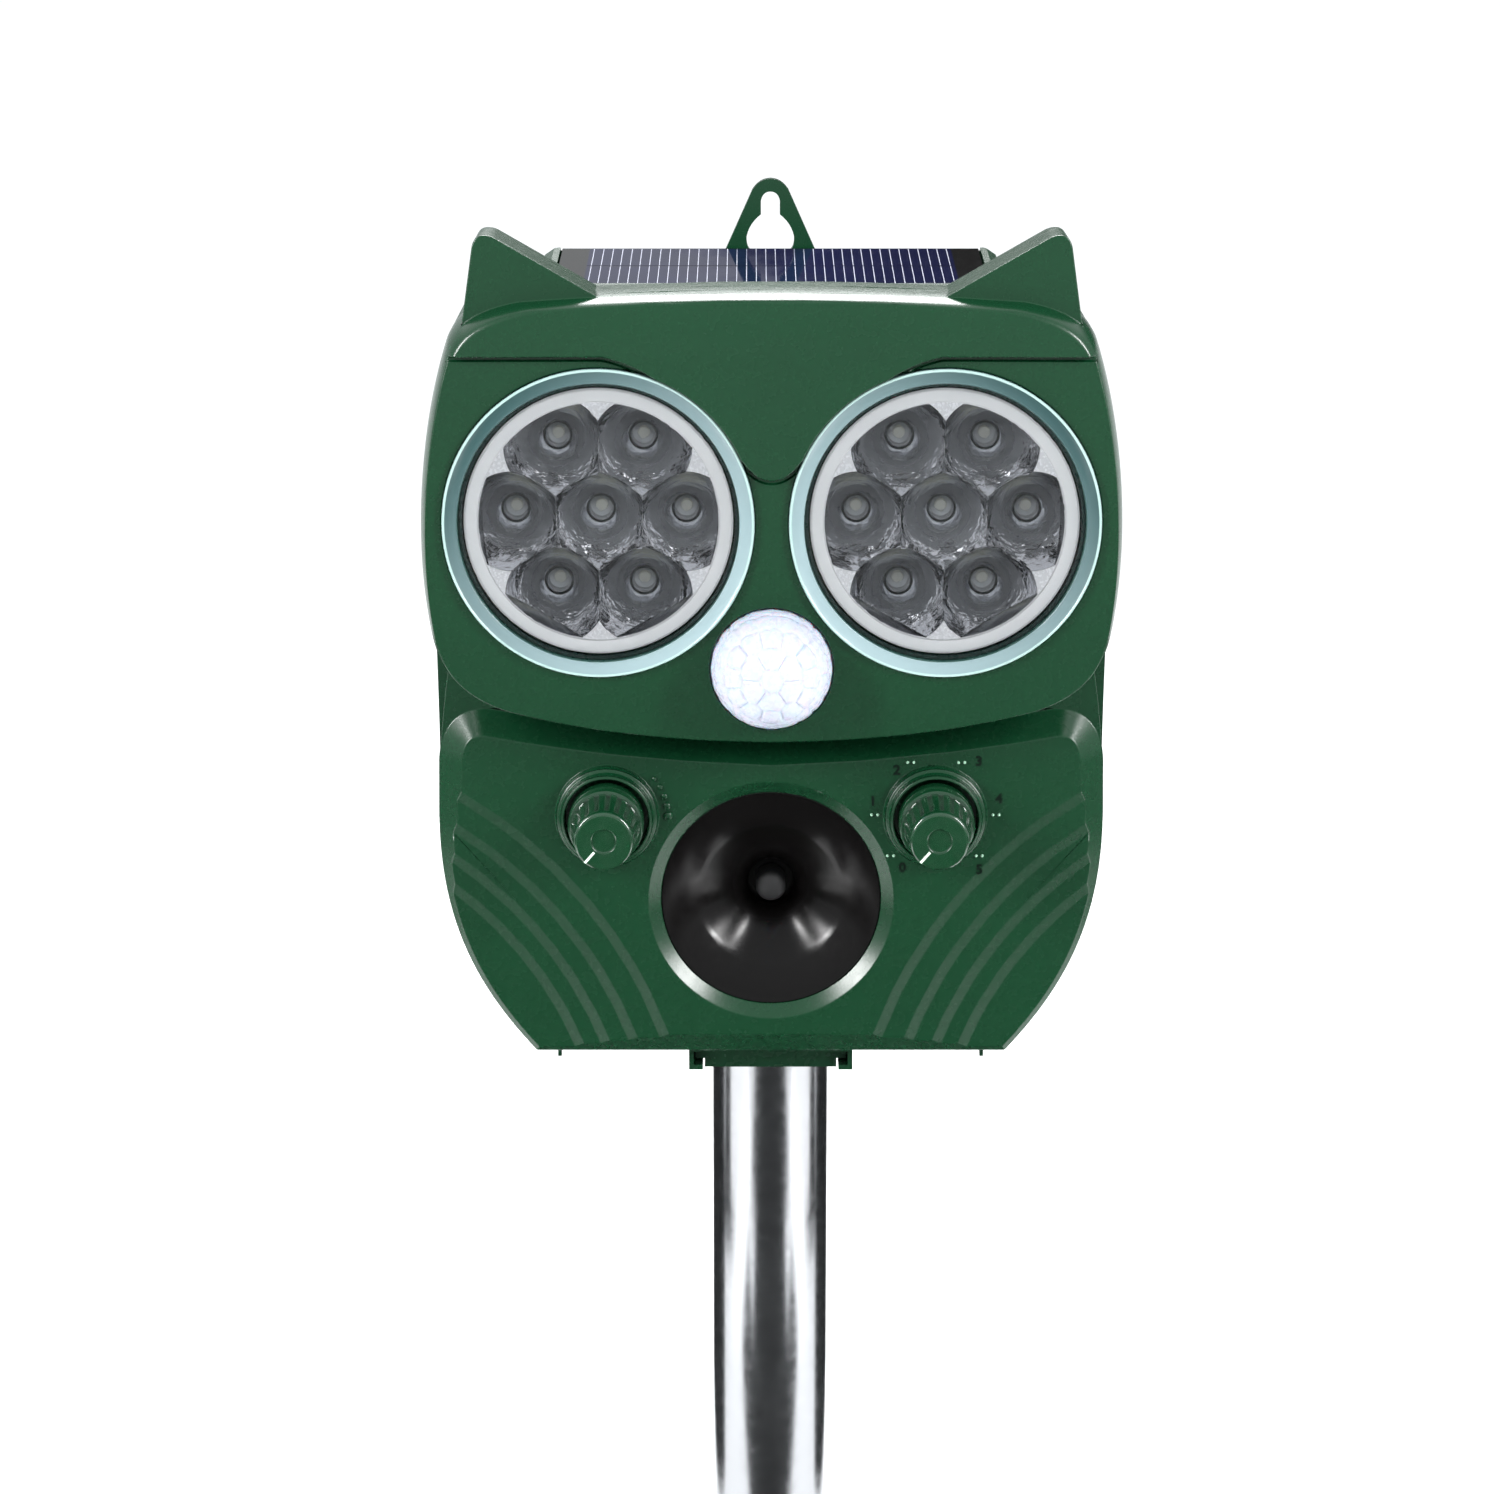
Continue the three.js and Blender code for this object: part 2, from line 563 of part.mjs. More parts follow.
// A fluted knob on a skirt, with a pointer line that rests at the scale's start.
function knob(x) {
  const flutes = 18;
  const fluted = (radius, depth) =>
    Array.from({ length: flutes * 2 }, (_, i) => {
      const turn = (i / flutes) * Math.PI;
      const reach = radius - (i % 2) * depth;
      return new THREE.Vector2(x + reach * Math.cos(turn), DIAL.z + reach * Math.sin(turn));
    });
  const body = loft([
    { points: fluted(5.5, 0), y: KNOB.top },
    { points: fluted(5.95, 0), y: KNOB.top + 0.6 },
    { points: fluted(6.1, 0.1), y: KNOB.top + 2 },
    { points: fluted(6.9, 0.6), y: KNOB.skirt + 0.5 },
  ]);
  const skirt = join(
    bar(x, DIAL.z, KNOB.skirt, KNOB.skirt + 0.6, 7.1, 7.6, 32),
    bar(x, DIAL.z, KNOB.skirt + 0.6, KNOB.base, 7.6, 7.65, 32),
  );
  const bore = bar(x, DIAL.z, KNOB.top + 2.7, 0, 3.15, 3.15, 16);
  const turn = THREE.MathUtils.degToRad(-135);
  const line = new THREE.BoxGeometry(0.6, 1, 3.2).translate(0, KNOB.top, 4.1);
  const pointer = toSolid(line.rotateY(turn).translate(x, 0, DIAL.z));
  const cap = bar(x, DIAL.z, KNOB.top - 1, KNOB.top + 0.3, 2.5, 2.5, 20);
  return cut(join(body, skirt), bore, pointer, cap);
}

// The circuit board, with its tallest parts.
function mainBoard() {
  const board = box([-45, 12, 40], [45, 13.6, 100]);
  const chips = [
    [[-12, 9.5, 66], [2, 12.5, 80]],
    [[12, 8, 58], [24, 12.5, 70]],
    [[-34, 6, 50], [-24, 12.5, 60]],
  ].map(([low, high]) => box(low, high));
  return join(board, ...chips);
}

function batteryCell() {
  const geometry = new THREE.CylinderGeometry(9.1, 9.1, 65, 24);
  return toSolid(geometry.rotateZ(Math.PI / 2).translate(0, 24, 19));
}

function batteryHolder() {
  const cradle = box([-38, 24, 8], [38, REAR_Y - WALL - GAP, 30]);
  const bed = new THREE.CylinderGeometry(9.4, 9.4, 66, 24);
  return cut(cradle, toSolid(bed.rotateZ(Math.PI / 2).translate(0, 24, 19)));
}

function usbSocket() {
  const outer = box([USB.x - 4.5, 28, USB.z - 1.8], [USB.x + 4.5, 35.2, USB.z + 1.8]);
  const inner = box([USB.x - 4, 29, USB.z - 1.3], [USB.x + 4, 40, USB.z + 1.3]);
  const tongue = box([USB.x - 3, 28.5, USB.z - 0.3], [USB.x + 3, 34.5, USB.z + 0.3]);
  const board = box([USB.x - 8, 22, USB.z - 3.4], [USB.x + 8, 31.7, USB.z - 1.7]);
  return join(cut(outer, inner), tongue, board);
}

// The rubber flap over the charging socket, with a rounded edge where it hinges.
function usbCover() {
  const half = USB.deep / 2;
  const middle = REAR_Y - half;
  const low = USB.z - USB.tall / 2;
  const high = USB.z + USB.tall / 2;
  const hinge = new THREE.CylinderGeometry(half, half, USB.tall, 12).rotateX(Math.PI / 2);
  hinge.translate(USB.x - USB.wide / 2 + half, middle, USB.z);
  const flap = box([USB.x - USB.wide / 2 + half, REAR_Y - USB.deep, low], [USB.x + USB.wide / 2, REAR_Y, high]);
  return join(toSolid(hinge), flap);
}

// A case screw: pan head, shank into the front cover's post.
function caseScrew([x, z]) {
  const head = bar(x, z, -11.7, -9.3, 2.8, 2.8, 12);
  const shank = bar(x, z, -23.2, -11, 1.35, 1.35, 8);
  const slot = [box([x - 1.8, -10.3, z - 0.3], [x + 1.8, -9, z + 0.3]), box([x - 0.3, -10.3, z - 1.8], [x + 0.3, -9, z + 1.8])];
  return cut(join(head, shank), ...slot);
}

// Insulated leads inside the case.
const solarLead = () => lead([[20, 8, 148], [21, 10, 130], [18, 11, 112], [16, 9, 102], [16, 10.5, 90]], 0.8, 14);
const speakerLead = () => lead([[8, 5.5, 36], [10, 9, 40], [10, 10.4, 46], [9, 11, 54]], 0.8, 10);

// The stake: plate and plug on top, steel tube, and the spike that goes in the soil.
function stakeAdapter() {
  const plateTop = box([-15.7, -17.8, HOUSING_Z - 4.1], [15.7, 14, HOUSING_Z - 1.8]);
  const neck = box([-13.75, -17.8, HOUSING_Z - 6], [13.75, 14, HOUSING_Z - 4]);
  const plug = turnedUp([[0, 92], [10, 92], [10.9, 94], [10.9, HOUSING_Z - 5], [0, HOUSING_Z - 5]], 24);
  return join(plateTop, neck, plug);
}

function stakeTube() {
  const inner = TUBE.radius - TUBE.wall;
  return turnedUp([
    [TUBE.radius, TUBE.bottom],
    [TUBE.radius, TUBE.top],
    [inner, TUBE.top],
    [inner, TUBE.bottom],
  ], 32);
}

function groundSpike() {
  const flange = turnedUp([[0, 0], [15, 0], [15, 3], [10.8, 3], [10.8, 19], [10, 20], [0, 20]], 28);
  const outline = [
    [-12, 0.5],
    [-11, -30],
    [-1, -SPIKE_LENGTH],
    [1, -SPIKE_LENGTH],
    [11, -30],
    [12, 0.5],
  ].map(([x, z]) => new THREE.Vector2(x, z));
  const fin = plate(outline, -1.3, 1.3);
  const crossed = toSolid(toGeometry(fin).rotateZ(Math.PI / 2));
  const core = turnedUp([[0, 0.5], [5, 0.5], [0.9, -95], [0, -95]], 12);
  return join(flange, fin, crossed, core);
}

// The scene graph: the housing stands on the stake.
const model = new THREE.Group();
const housing = new THREE.Group();
housing.position.z = HOUSING_Z;
model.add(housing);

function place(parent, name, body, material) {
  const mesh = new THREE.Mesh(toGeometry(body), material);
  mesh.name = name;
  parent.add(mesh);
}

place(model, 'stake_adapter', stakeAdapter(), GREEN);
place(model, 'stake_tube', stakeTube(), STEEL);
place(model, 'ground_spike', groundSpike(), BLACK);

place(housing, 'head_cover', headCover(), GREEN);
place(housing, 'chest_cover', chestCover(), GREEN);
place(housing, 'rear_case', rearCase(), GREEN);
place(housing, 'hanger_tab', hangerTab(), GREEN);
place(housing, 'solar_frame', solarFrame(), GREEN);
place(housing, 'solar_panel', solarPanel(), CELL);

for (const { name, sign } of SIDES) {
  const x = sign * EYE.x;
  place(housing, `eye_ring_${name}`, eyeRing(x), RING);
  place(housing, `eye_lens_${name}`, eyeLens(x), CLEAR);
  place(housing, `reflector_${name}`, reflector(x), CHROME);
  place(housing, `led_board_${name}`, ledBoard(x), BOARD);
  cupCentres(x).forEach((centre, i) => {
    place(housing, `led_${name}_${i + 1}`, led(centre), CLEAR);
  });
}

place(housing, 'sensor_dome', sensorDome(), MILK);
place(housing, 'sensor_can', sensorCan(), STEEL);
place(housing, 'sensor_board', sensorBoard(), BOARD);
place(housing, 'speaker_horn', speakerHorn(), BLACK);
place(housing, 'phase_plug', phasePlug(), BLACK);
place(housing, 'speaker_driver', speakerDriver(), BLACK);

const dials = [
  ['sensitivity', -DIAL.x],
  ['frequency', DIAL.x],
];
for (const [name, x] of dials) {
  place(housing, `${name}_pot`, pot(x), STEEL);
  place(housing, `${name}_nut`, potNut(x), STEEL);
  place(housing, `${name}_shaft`, potShaft(x), STEEL);
  place(housing, `${name}_knob`, knob(x), DARK_GREEN);
}

place(housing, 'main_board', mainBoard(), BOARD);
place(housing, 'battery_cell', batteryCell(), COPPER);
place(housing, 'battery_holder', batteryHolder(), BLACK);
place(housing, 'usb_socket', usbSocket(), STEEL);
place(housing, 'usb_cover', usbCover(), BLACK);
place(housing, 'solar_lead', solarLead(), RED);
place(housing, 'speaker_lead', speakerLead(), RED);
SCREWS.forEach((at, i) => place(housing, `case_screw_${i + 1}`, caseScrew(at), STEEL));

export default model;
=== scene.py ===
"""Looks for the owl-shaped solar pest repeller: fine surfaces, materials, light and camera.

The part's sizes are millimetres in the CAD frame: +Z up, the owl faces -Y. MM turns them into
Blender's metres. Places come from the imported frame's boxes.
"""
import math

import bpy
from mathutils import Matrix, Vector


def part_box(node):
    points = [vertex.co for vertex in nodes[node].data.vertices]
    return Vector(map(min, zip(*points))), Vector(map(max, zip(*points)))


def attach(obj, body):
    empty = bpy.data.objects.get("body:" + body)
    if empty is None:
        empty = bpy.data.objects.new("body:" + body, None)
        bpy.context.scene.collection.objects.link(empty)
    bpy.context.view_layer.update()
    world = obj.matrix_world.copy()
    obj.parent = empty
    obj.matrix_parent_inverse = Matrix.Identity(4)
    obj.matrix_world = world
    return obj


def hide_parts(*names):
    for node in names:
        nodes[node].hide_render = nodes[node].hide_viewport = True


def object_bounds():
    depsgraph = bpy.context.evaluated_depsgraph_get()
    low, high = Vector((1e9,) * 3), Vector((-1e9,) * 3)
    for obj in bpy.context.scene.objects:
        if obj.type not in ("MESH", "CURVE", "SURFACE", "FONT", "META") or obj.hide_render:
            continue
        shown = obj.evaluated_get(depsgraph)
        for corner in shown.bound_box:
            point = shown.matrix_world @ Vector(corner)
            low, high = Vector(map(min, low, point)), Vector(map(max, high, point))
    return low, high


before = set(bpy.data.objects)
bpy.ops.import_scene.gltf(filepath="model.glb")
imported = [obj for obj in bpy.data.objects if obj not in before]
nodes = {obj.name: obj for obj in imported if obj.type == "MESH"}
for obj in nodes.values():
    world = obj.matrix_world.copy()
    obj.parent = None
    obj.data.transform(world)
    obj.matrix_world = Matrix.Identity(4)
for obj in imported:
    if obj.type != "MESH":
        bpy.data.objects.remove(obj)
cad_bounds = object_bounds()
housing_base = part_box("chest_cover")[0].z

MM = 0.001
GAP = 0.3
WALL = 2.0
SIDES = {"left": -1, "right": 1}

# The front covers' driving sizes, with heights above the housing's flat bottom.
BROW_Y = -37.5
FACE_Y = -36.0
CHEST_Y = -29.0
CHAMFER_Y = -25.0
COVER_BACK = -18.3
FEATHERS = {"x": 114, "z": -28, "radii": (97.7, 91.3, 85.6, 80.3), "step": 0.75}
CUP = {"pitch": 17.2, "mouth": 10.0, "throat": 2.9, "front": -33.5, "back": -18.5, "rim": 23.7}
SCALE_RADIUS = 12.3  # of the ring of dots round a knob
ROUNDING = (  # how far the head has widened, at each depth behind the brow's front
    (0, 0), (0.1, 0.1), (0.2, 0.32), (0.35, 0.9), (0.5, 1.9), (0.64, 3.1), (0.78, 4.8), (0.91, 7.6),
)
HEAD_WIDEST = 12.0  # depth behind the brow's front where the head stops widening
POINTER_ANGLE = math.radians(-139)  # both knobs rest at the start of their travel
SOLAR_TILT = math.radians(3.7)
PANEL_THICK = 2.0
LINES_PER_ROW = 38
FLOOR_Z = cad_bounds[0][2]


# ---------------------------------------------------------------- materials


def rgb(red, green, blue):
    """A colour given as screen values from 0 to 255, as linear light with alpha 1."""
    def linear(value):
        share = value / 255
        if share <= 0.04045:
            return share / 12.92
        return ((share + 0.055) / 1.055) ** 2.4
    return (linear(red), linear(green), linear(blue), 1.0)


def shade(color, factor):
    return tuple(min(1.0, channel * factor) for channel in color[:3]) + (1.0,)


def noise(tree, place, scale, detail):
    node = tree.nodes.new("ShaderNodeTexNoise")
    node.inputs["Scale"].default_value = scale
    node.inputs["Detail"].default_value = detail
    tree.links.new(place.outputs["Object"], node.inputs["Vector"])
    return node.outputs["Fac"]


def spread(tree, factor, low, high):
    """A value between low and high, following a factor from about 0.3 to 0.7."""
    node = tree.nodes.new("ShaderNodeMapRange")
    node.inputs["From Min"].default_value = 0.3
    node.inputs["From Max"].default_value = 0.7
    node.inputs["To Min"].default_value = low
    node.inputs["To Max"].default_value = high
    tree.links.new(factor, node.inputs["Value"])
    return node.outputs["Result"]


def mixed(tree, factor, first, second):
    node = tree.nodes.new("ShaderNodeMix")
    node.data_type = "RGBA"
    for socket, value in (("A", first), ("B", second)):
        target = next(s for s in node.inputs if s.name == socket and s.type == "RGBA")
        if isinstance(value, tuple):
            target.default_value = value
        else:
            tree.links.new(value, target)
    tree.links.new(factor, next(s for s in node.inputs if s.name == "Factor" and s.type == "VALUE"))
    return next(s for s in node.outputs if s.type == "RGBA")


def surface(name, color, rough, tint=0.1, grain=900, relief=0.006, uneven=0.05, **sockets):
    """A material whose colour, roughness and relief (in mm) follow noise in object space."""
    material = bpy.data.materials.new(name)
    material.use_nodes = True
    tree = material.node_tree
    shader = tree.nodes["Principled BSDF"]
    for socket, value in sockets.items():
        shader.inputs[socket.replace("_", " ")].default_value = value
    place = tree.nodes.new("ShaderNodeTexCoord")
    fine = noise(tree, place, grain, 2)
    broad = noise(tree, place, 35, 3)
    paint = mixed(tree, spread(tree, broad, 0, 1), shade(color, 1 - tint), shade(color, 1 + tint))
    tree.links.new(paint, shader.inputs["Base Color"])
    tree.links.new(spread(tree, fine, rough - uneven, rough + uneven), shader.inputs["Roughness"])
    bump = tree.nodes.new("ShaderNodeBump")
    bump.inputs["Strength"].default_value = 1.0
    bump.inputs["Distance"].default_value = relief * MM
    tree.links.new(fine, bump.inputs["Height"])
    tree.links.new(bump.outputs["Normal"], shader.inputs["Normal"])
    return material


def thin_clear(name):
    """Thin clear plastic: what is behind shows through, with a faint gloss over it."""
    material = bpy.data.materials.new(name)
    material.use_nodes = True
    tree = material.node_tree
    tree.nodes.remove(tree.nodes["Principled BSDF"])
    output = tree.nodes["Material Output"]
    through = tree.nodes.new("ShaderNodeBsdfTransparent")
    through.inputs["Color"].default_value = (0.99, 0.995, 1, 1)
    gloss = tree.nodes.new("ShaderNodeBsdfGlossy")
    place = tree.nodes.new("ShaderNodeTexCoord")
    smear = noise(tree, place, 60, 3)
    tree.links.new(spread(tree, smear, 0.02, 0.08), gloss.inputs["Roughness"])
    fresnel = tree.nodes.new("ShaderNodeFresnel")
    fresnel.inputs["IOR"].default_value = 1.25
    mix = tree.nodes.new("ShaderNodeMixShader")
    tree.links.new(fresnel.outputs["Fac"], mix.inputs["Fac"])
    tree.links.new(through.outputs["BSDF"], mix.inputs[1])
    tree.links.new(gloss.outputs["BSDF"], mix.inputs[2])
    tree.links.new(mix.outputs["Shader"], output.inputs["Surface"])
    return material


GREEN = surface("green_shell", rgb(6, 48, 26), 0.27, tint=0.04, grain=500, relief=0.0004, uneven=0.015,
                Specular_IOR_Level=0.45)
GREEN_KNOB = surface("green_knob", rgb(11, 50, 28), 0.2, tint=0.05, grain=500, relief=0.0004,
                     Specular_IOR_Level=0.5, Coat_Weight=1.0, Coat_Roughness=0.08)
INK = surface("dark_green_ink", rgb(3, 18, 11), 0.7, Specular_IOR_Level=0.1)
POINTER = surface("pale_pointer", rgb(205, 222, 208), 0.4, tint=0.04)
PALE_DOT = surface("pale_dot", rgb(150, 190, 165), 0.3, tint=0.04)
BLACK = surface("black_gloss", rgb(8, 7, 7), 0.2, tint=0.2, grain=500, relief=0.001, uneven=0.03,
                Specular_IOR_Level=0.25)
PLUG = surface("plug_satin", rgb(34, 34, 35), 0.55, tint=0.1, grain=900, relief=0.004)
SPIKE = surface("black_moulding", rgb(24, 24, 24), 0.5, tint=0.2, grain=700, relief=0.02)
RUBBER = surface("black_rubber", rgb(28, 29, 29), 0.75, tint=0.1, grain=1800, relief=0.02)
ZINC = surface("zinc", rgb(178, 180, 178), 0.34, tint=0.08, grain=700, relief=0.004, Metallic=1.0)
CHROME = surface("reflector_chrome", rgb(236, 236, 238), 0.06, tint=0.03, grain=520, relief=0.13,
                 uneven=0.03, Metallic=1.0)
DIMPLED = surface("reflector_dimples", rgb(246, 246, 248), 0.26, tint=0.06, grain=1900, relief=0.09,
                  Metallic=0.15)
RIM = surface("reflector_rim", rgb(251, 251, 251), 0.4, tint=0.01, grain=700, relief=0.01)
# the ring's outer edge: glossier, which is real, and lighter, which is a painted highlight
RING_EDGE_POLISH_AND_HIGHLIGHT = surface("ring_polished_edge_painted_highlight", rgb(150, 176, 172), 0.15, tint=0.05)
# the ring's inside wall: darker by painted shade, as in a recess
RING_GAP_PAINTED_SHADE = surface("ring_inside_painted_shade", rgb(34, 66, 60), 0.3)
CLEAR = thin_clear("clear_lens")
EPOXY = surface("led_epoxy", rgb(240, 243, 247), 0.07, tint=0.01, grain=300, relief=0.0, uneven=0.02,
                Transmission_Weight=0.8, IOR=1.5)
CHIP = surface("led_phosphor", rgb(214, 212, 190), 0.5)
MILK = surface("milky_dome", rgb(174, 179, 193), 0.28, tint=0.03, grain=900, relief=0.006,
               Subsurface_Weight=0.5, Subsurface_Scale=0.003)
CELL_BLUE = surface("cell_navy", rgb(14, 17, 48), 0.07, tint=0.25, grain=160, relief=0.0, uneven=0.02,
                    Specular_IOR_Level=0.06)
CELL_LINE = surface("cell_silver_line", rgb(128, 132, 152), 0.35, tint=0.05)
CELL_BLACK = surface("panel_border", rgb(12, 11, 11), 0.08, tint=0.2, relief=0.0, Specular_IOR_Level=0.08)
BOARD = surface("circuit_board", rgb(28, 92, 52), 0.45, tint=0.15, grain=600, relief=0.01)
WHITE_BOARD = surface("white_circuit_board", rgb(236, 238, 236), 0.4, tint=0.03, grain=600, relief=0.01)
SLEEVE = surface("cell_sleeve", rgb(40, 88, 150), 0.35, tint=0.08)
LEAD = surface("lead_sleeve", rgb(150, 30, 26), 0.45, tint=0.08)


def ring_plastic():
    """Blue-grey plastic with painted light: its colour is lighter towards the nose and the chin, where the
    translucent ring looks lit.
    """
    sideways, downwards = 0.75, 0.66
    material = surface("ring_blue_grey_painted_light", rgb(100, 130, 132), 0.22, grain=500, relief=0.004)
    tree = material.node_tree
    place = next(n for n in tree.nodes if n.type == "TEX_COORD")
    paired = tree.nodes.new("ShaderNodeVectorMath")
    paired.operation = "ABSOLUTE"
    tree.links.new(place.outputs["Object"], paired.inputs[0])
    along = tree.nodes.new("ShaderNodeVectorMath")
    along.operation = "DOT_PRODUCT"
    along.inputs[1].default_value = (-sideways, 0, -downwards)
    tree.links.new(paired.outputs["Vector"], along.inputs[0])
    x, z, radius = round_place("eye_ring_left")
    middle = (sideways * x - downwards * (z + base_mm())) * MM
    share = tree.nodes.new("ShaderNodeMapRange")
    share.inputs["From Min"].default_value = middle - radius * MM
    share.inputs["From Max"].default_value = middle + radius * MM
    tree.links.new(along.outputs["Value"], share.inputs["Value"])
    # painted light: dark teal away from the nose and the chin, pale towards them
    painted_glow = mixed(tree, share.outputs["Result"], rgb(40, 68, 68), rgb(132, 152, 156))
    tree.links.new(painted_glow, tree.nodes["Principled BSDF"].inputs["Base Color"])
    return material


def polished_tube():
    """Polished stainless steel, its fine lines running round the tube."""
    material = surface("polished_tube", rgb(160, 162, 165), 0.16, tint=0.04, grain=400, relief=0.0,
                       uneven=0.03, Metallic=1.0, Anisotropic=0.7)
    tree = material.node_tree
    shader = tree.nodes["Principled BSDF"]
    place = next(n for n in tree.nodes if n.type == "TEX_COORD")
    squeeze = tree.nodes.new("ShaderNodeMapping")
    squeeze.inputs["Scale"].default_value = (60, 60, 9000)
    lines = tree.nodes.new("ShaderNodeTexNoise")
    lines.inputs["Scale"].default_value = 1.0
    tree.links.new(place.outputs["Object"], squeeze.inputs["Vector"])
    tree.links.new(squeeze.outputs["Vector"], lines.inputs["Vector"])
    bump = next(n for n in tree.nodes if n.type == "BUMP")
    bump.inputs["Distance"].default_value = 0.002 * MM
    tree.links.new(lines.outputs["Fac"], bump.inputs["Height"])
    tangent = tree.nodes.new("ShaderNodeTangent")
    tangent.direction_type = "RADIAL"
    tangent.axis = "Z"
    tree.links.new(tangent.outputs["Tangent"], shader.inputs["Tangent"])
    return material


# ---------------------------------------------------------------- places


def base_mm():
    return housing_base / MM


def round_place(node):
    """A round node's axis and radius, as x, height above the housing's bottom, and radius."""
    low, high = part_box(node)
    middle = (low + high) / 2 / MM
    return middle.x, middle.z - base_mm(), (high.x - low.x) / 2 / MM


RING = ring_plastic()
TUBE_STEEL = polished_tube()


# ---------------------------------------------------------------- mesh helpers


def make(name, points, faces, material):
    """A mesh object from points in millimetres."""
    mesh = bpy.data.meshes.new(name)
    mesh.from_pydata([Vector(point) * MM for point in points], [], faces)
    mesh.validate()
    piece = bpy.data.objects.new(name, mesh)
    bpy.context.scene.collection.objects.link(piece)
    mesh.materials.append(material)
    return piece


def loft(name, rings, material, closed=False):
    """A body through rings of points, front to back, with flat ends unless it closes on itself."""
    count = len(rings[0])
    points = [point for ring in rings for point in ring]
    faces = []
    spans = len(rings) if closed else len(rings) - 1
    for ring in range(spans):
        start, after = ring * count, ((ring + 1) % len(rings)) * count
        for i in range(count):
            j = (i + 1) % count
            faces.append((start + i, start + j, after + j, after + i))
    if not closed:
        faces.append(tuple(reversed(range(count))))
        faces.append(tuple(range(len(points) - count, len(points))))
    return make(name, points, faces, material)


def outlined(outline, y):
    """A ring at depth y from outline points, whose heights start at the housing's bottom."""
    return [(x, y, z + base_mm()) for x, z in outline]


def plate(outline, front, back, material=None):
    return loft("tool", [outlined(outline, front), outlined(outline, back)], material or GREEN)


def circle(x, y, z, radius, count):
    turns = [2 * math.pi * i / count for i in range(count)]
    return [(x + radius * math.sin(turn), y, z + radius * math.cos(turn)) for turn in turns]


def bar(x, z, front, back, front_radius, back_radius=None, count=64, material=None):
    """A round bar along Y, at height z above the housing's bottom."""
    height = z + base_mm()
    back_radius = front_radius if back_radius is None else back_radius
    rings = [circle(x, front, height, front_radius, count), circle(x, back, height, back_radius, count)]
    return loft("tool", rings, material or GREEN)


def turned(name, x, z, profile, material, count=96):
    """A turned body about the Y axis, from a closed profile of (radius, y) in millimetres."""
    area = sum(r0 * y1 - r1 * y0 for (r0, y0), (r1, y1) in zip(profile, profile[1:] + profile[:1]))
    if area < 0:
        profile = profile[::-1]
    rings = [circle(x, y, z + base_mm(), max(radius, 0.002), count) for radius, y in profile]
    return loft(name, rings, material, closed=True)


def bezier(points, steps):
    """Points on a curve of any degree, without its first point."""
    found = []
    degree = len(points) - 1
    for i in range(1, steps + 1):
        t = i / steps
        weights = [math.comb(degree, k) * t**k * (1 - t) ** (degree - k) for k in range(degree + 1)]
        found.append(tuple(sum(w * p[axis] for w, p in zip(weights, points)) for axis in (0, 1)))
    return found


def mirrored(start, legs, steps=24):
    """A whole outline from the left half's curve legs, bottom middle to top middle."""
    left = [start]
    for leg in legs:
        left += bezier([left[-1], *leg], steps if len(leg) > 1 else 1)
    right = [(-x, z) for x, z in reversed(left[1:-1])]
    return left + right


def inset(outline, distance):
    """The clockwise outline moved inwards by a distance, or outwards by a negative one."""
    moved = []
    for i, (x, z) in enumerate(outline):
        before, after = Vector(outline[i - 1]), Vector(outline[(i + 1) % len(outline)])
        into = (Vector((x, z)) - before).normalized()
        out = (after - Vector((x, z))).normalized()
        along = (into + out).normalized()
        reach = distance / max(0.5, along.dot(into))
        moved.append((x + reach * along.y, z - reach * along.x))
    return moved


def blended(first, second, share):
    return [(a + (c - a) * share, b + (d - b) * share) for (a, b), (c, d) in zip(first, second)]


def settle(piece):
    """Applies a piece's modifiers to its mesh."""
    graph = bpy.context.evaluated_depsgraph_get()
    mesh = bpy.data.meshes.new_from_object(piece.evaluated_get(graph))
    piece.modifiers.clear()
    piece.data = mesh
    return piece


def combine(piece, tools, operation):
    for tool in tools:
        change = piece.modifiers.new(operation, "BOOLEAN")
        change.operation = operation
        change.solver = "MANIFOLD"
        change.object = tool
    settle(piece)
    for tool in tools:
        bpy.data.objects.remove(tool)
    return piece


def join(piece, *tools):
    return combine(piece, tools, "UNION")


def cut(piece, *tools):
    return combine(piece, tools, "DIFFERENCE")


def soften(piece, width, angle=32, segments=2, flat=False):
    """Rounds the edges sharper than an angle, after merging flat faces where asked."""
    if flat:
        merge = piece.modifiers.new("merge", "DECIMATE")
        merge.decimate_type = "DISSOLVE"
        merge.angle_limit = math.radians(1)
    edge = piece.modifiers.new("edges", "BEVEL")
    edge.width = width * MM
    edge.segments = segments
    edge.limit_method = "ANGLE"
    edge.angle_limit = math.radians(angle)
    edge.use_clamp_overlap = False
    edge.harden_normals = True
    return piece


def smooth(piece, angle=32):
    piece.data.shade_smooth()
    piece.data.set_sharp_from_angle(angle=math.radians(angle))
    return piece


def stand_for(piece, body, slot, *replaced):
    """Names a piece's body and hides the CAD nodes that it stands for. The finish's slot is not used."""
    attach(piece, body)
    if replaced:
        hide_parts(*replaced)
    return piece


def paint(node, material):
    nodes[node].data.materials.clear()
    nodes[node].data.materials.append(material)


# ---------------------------------------------------------------- outlines

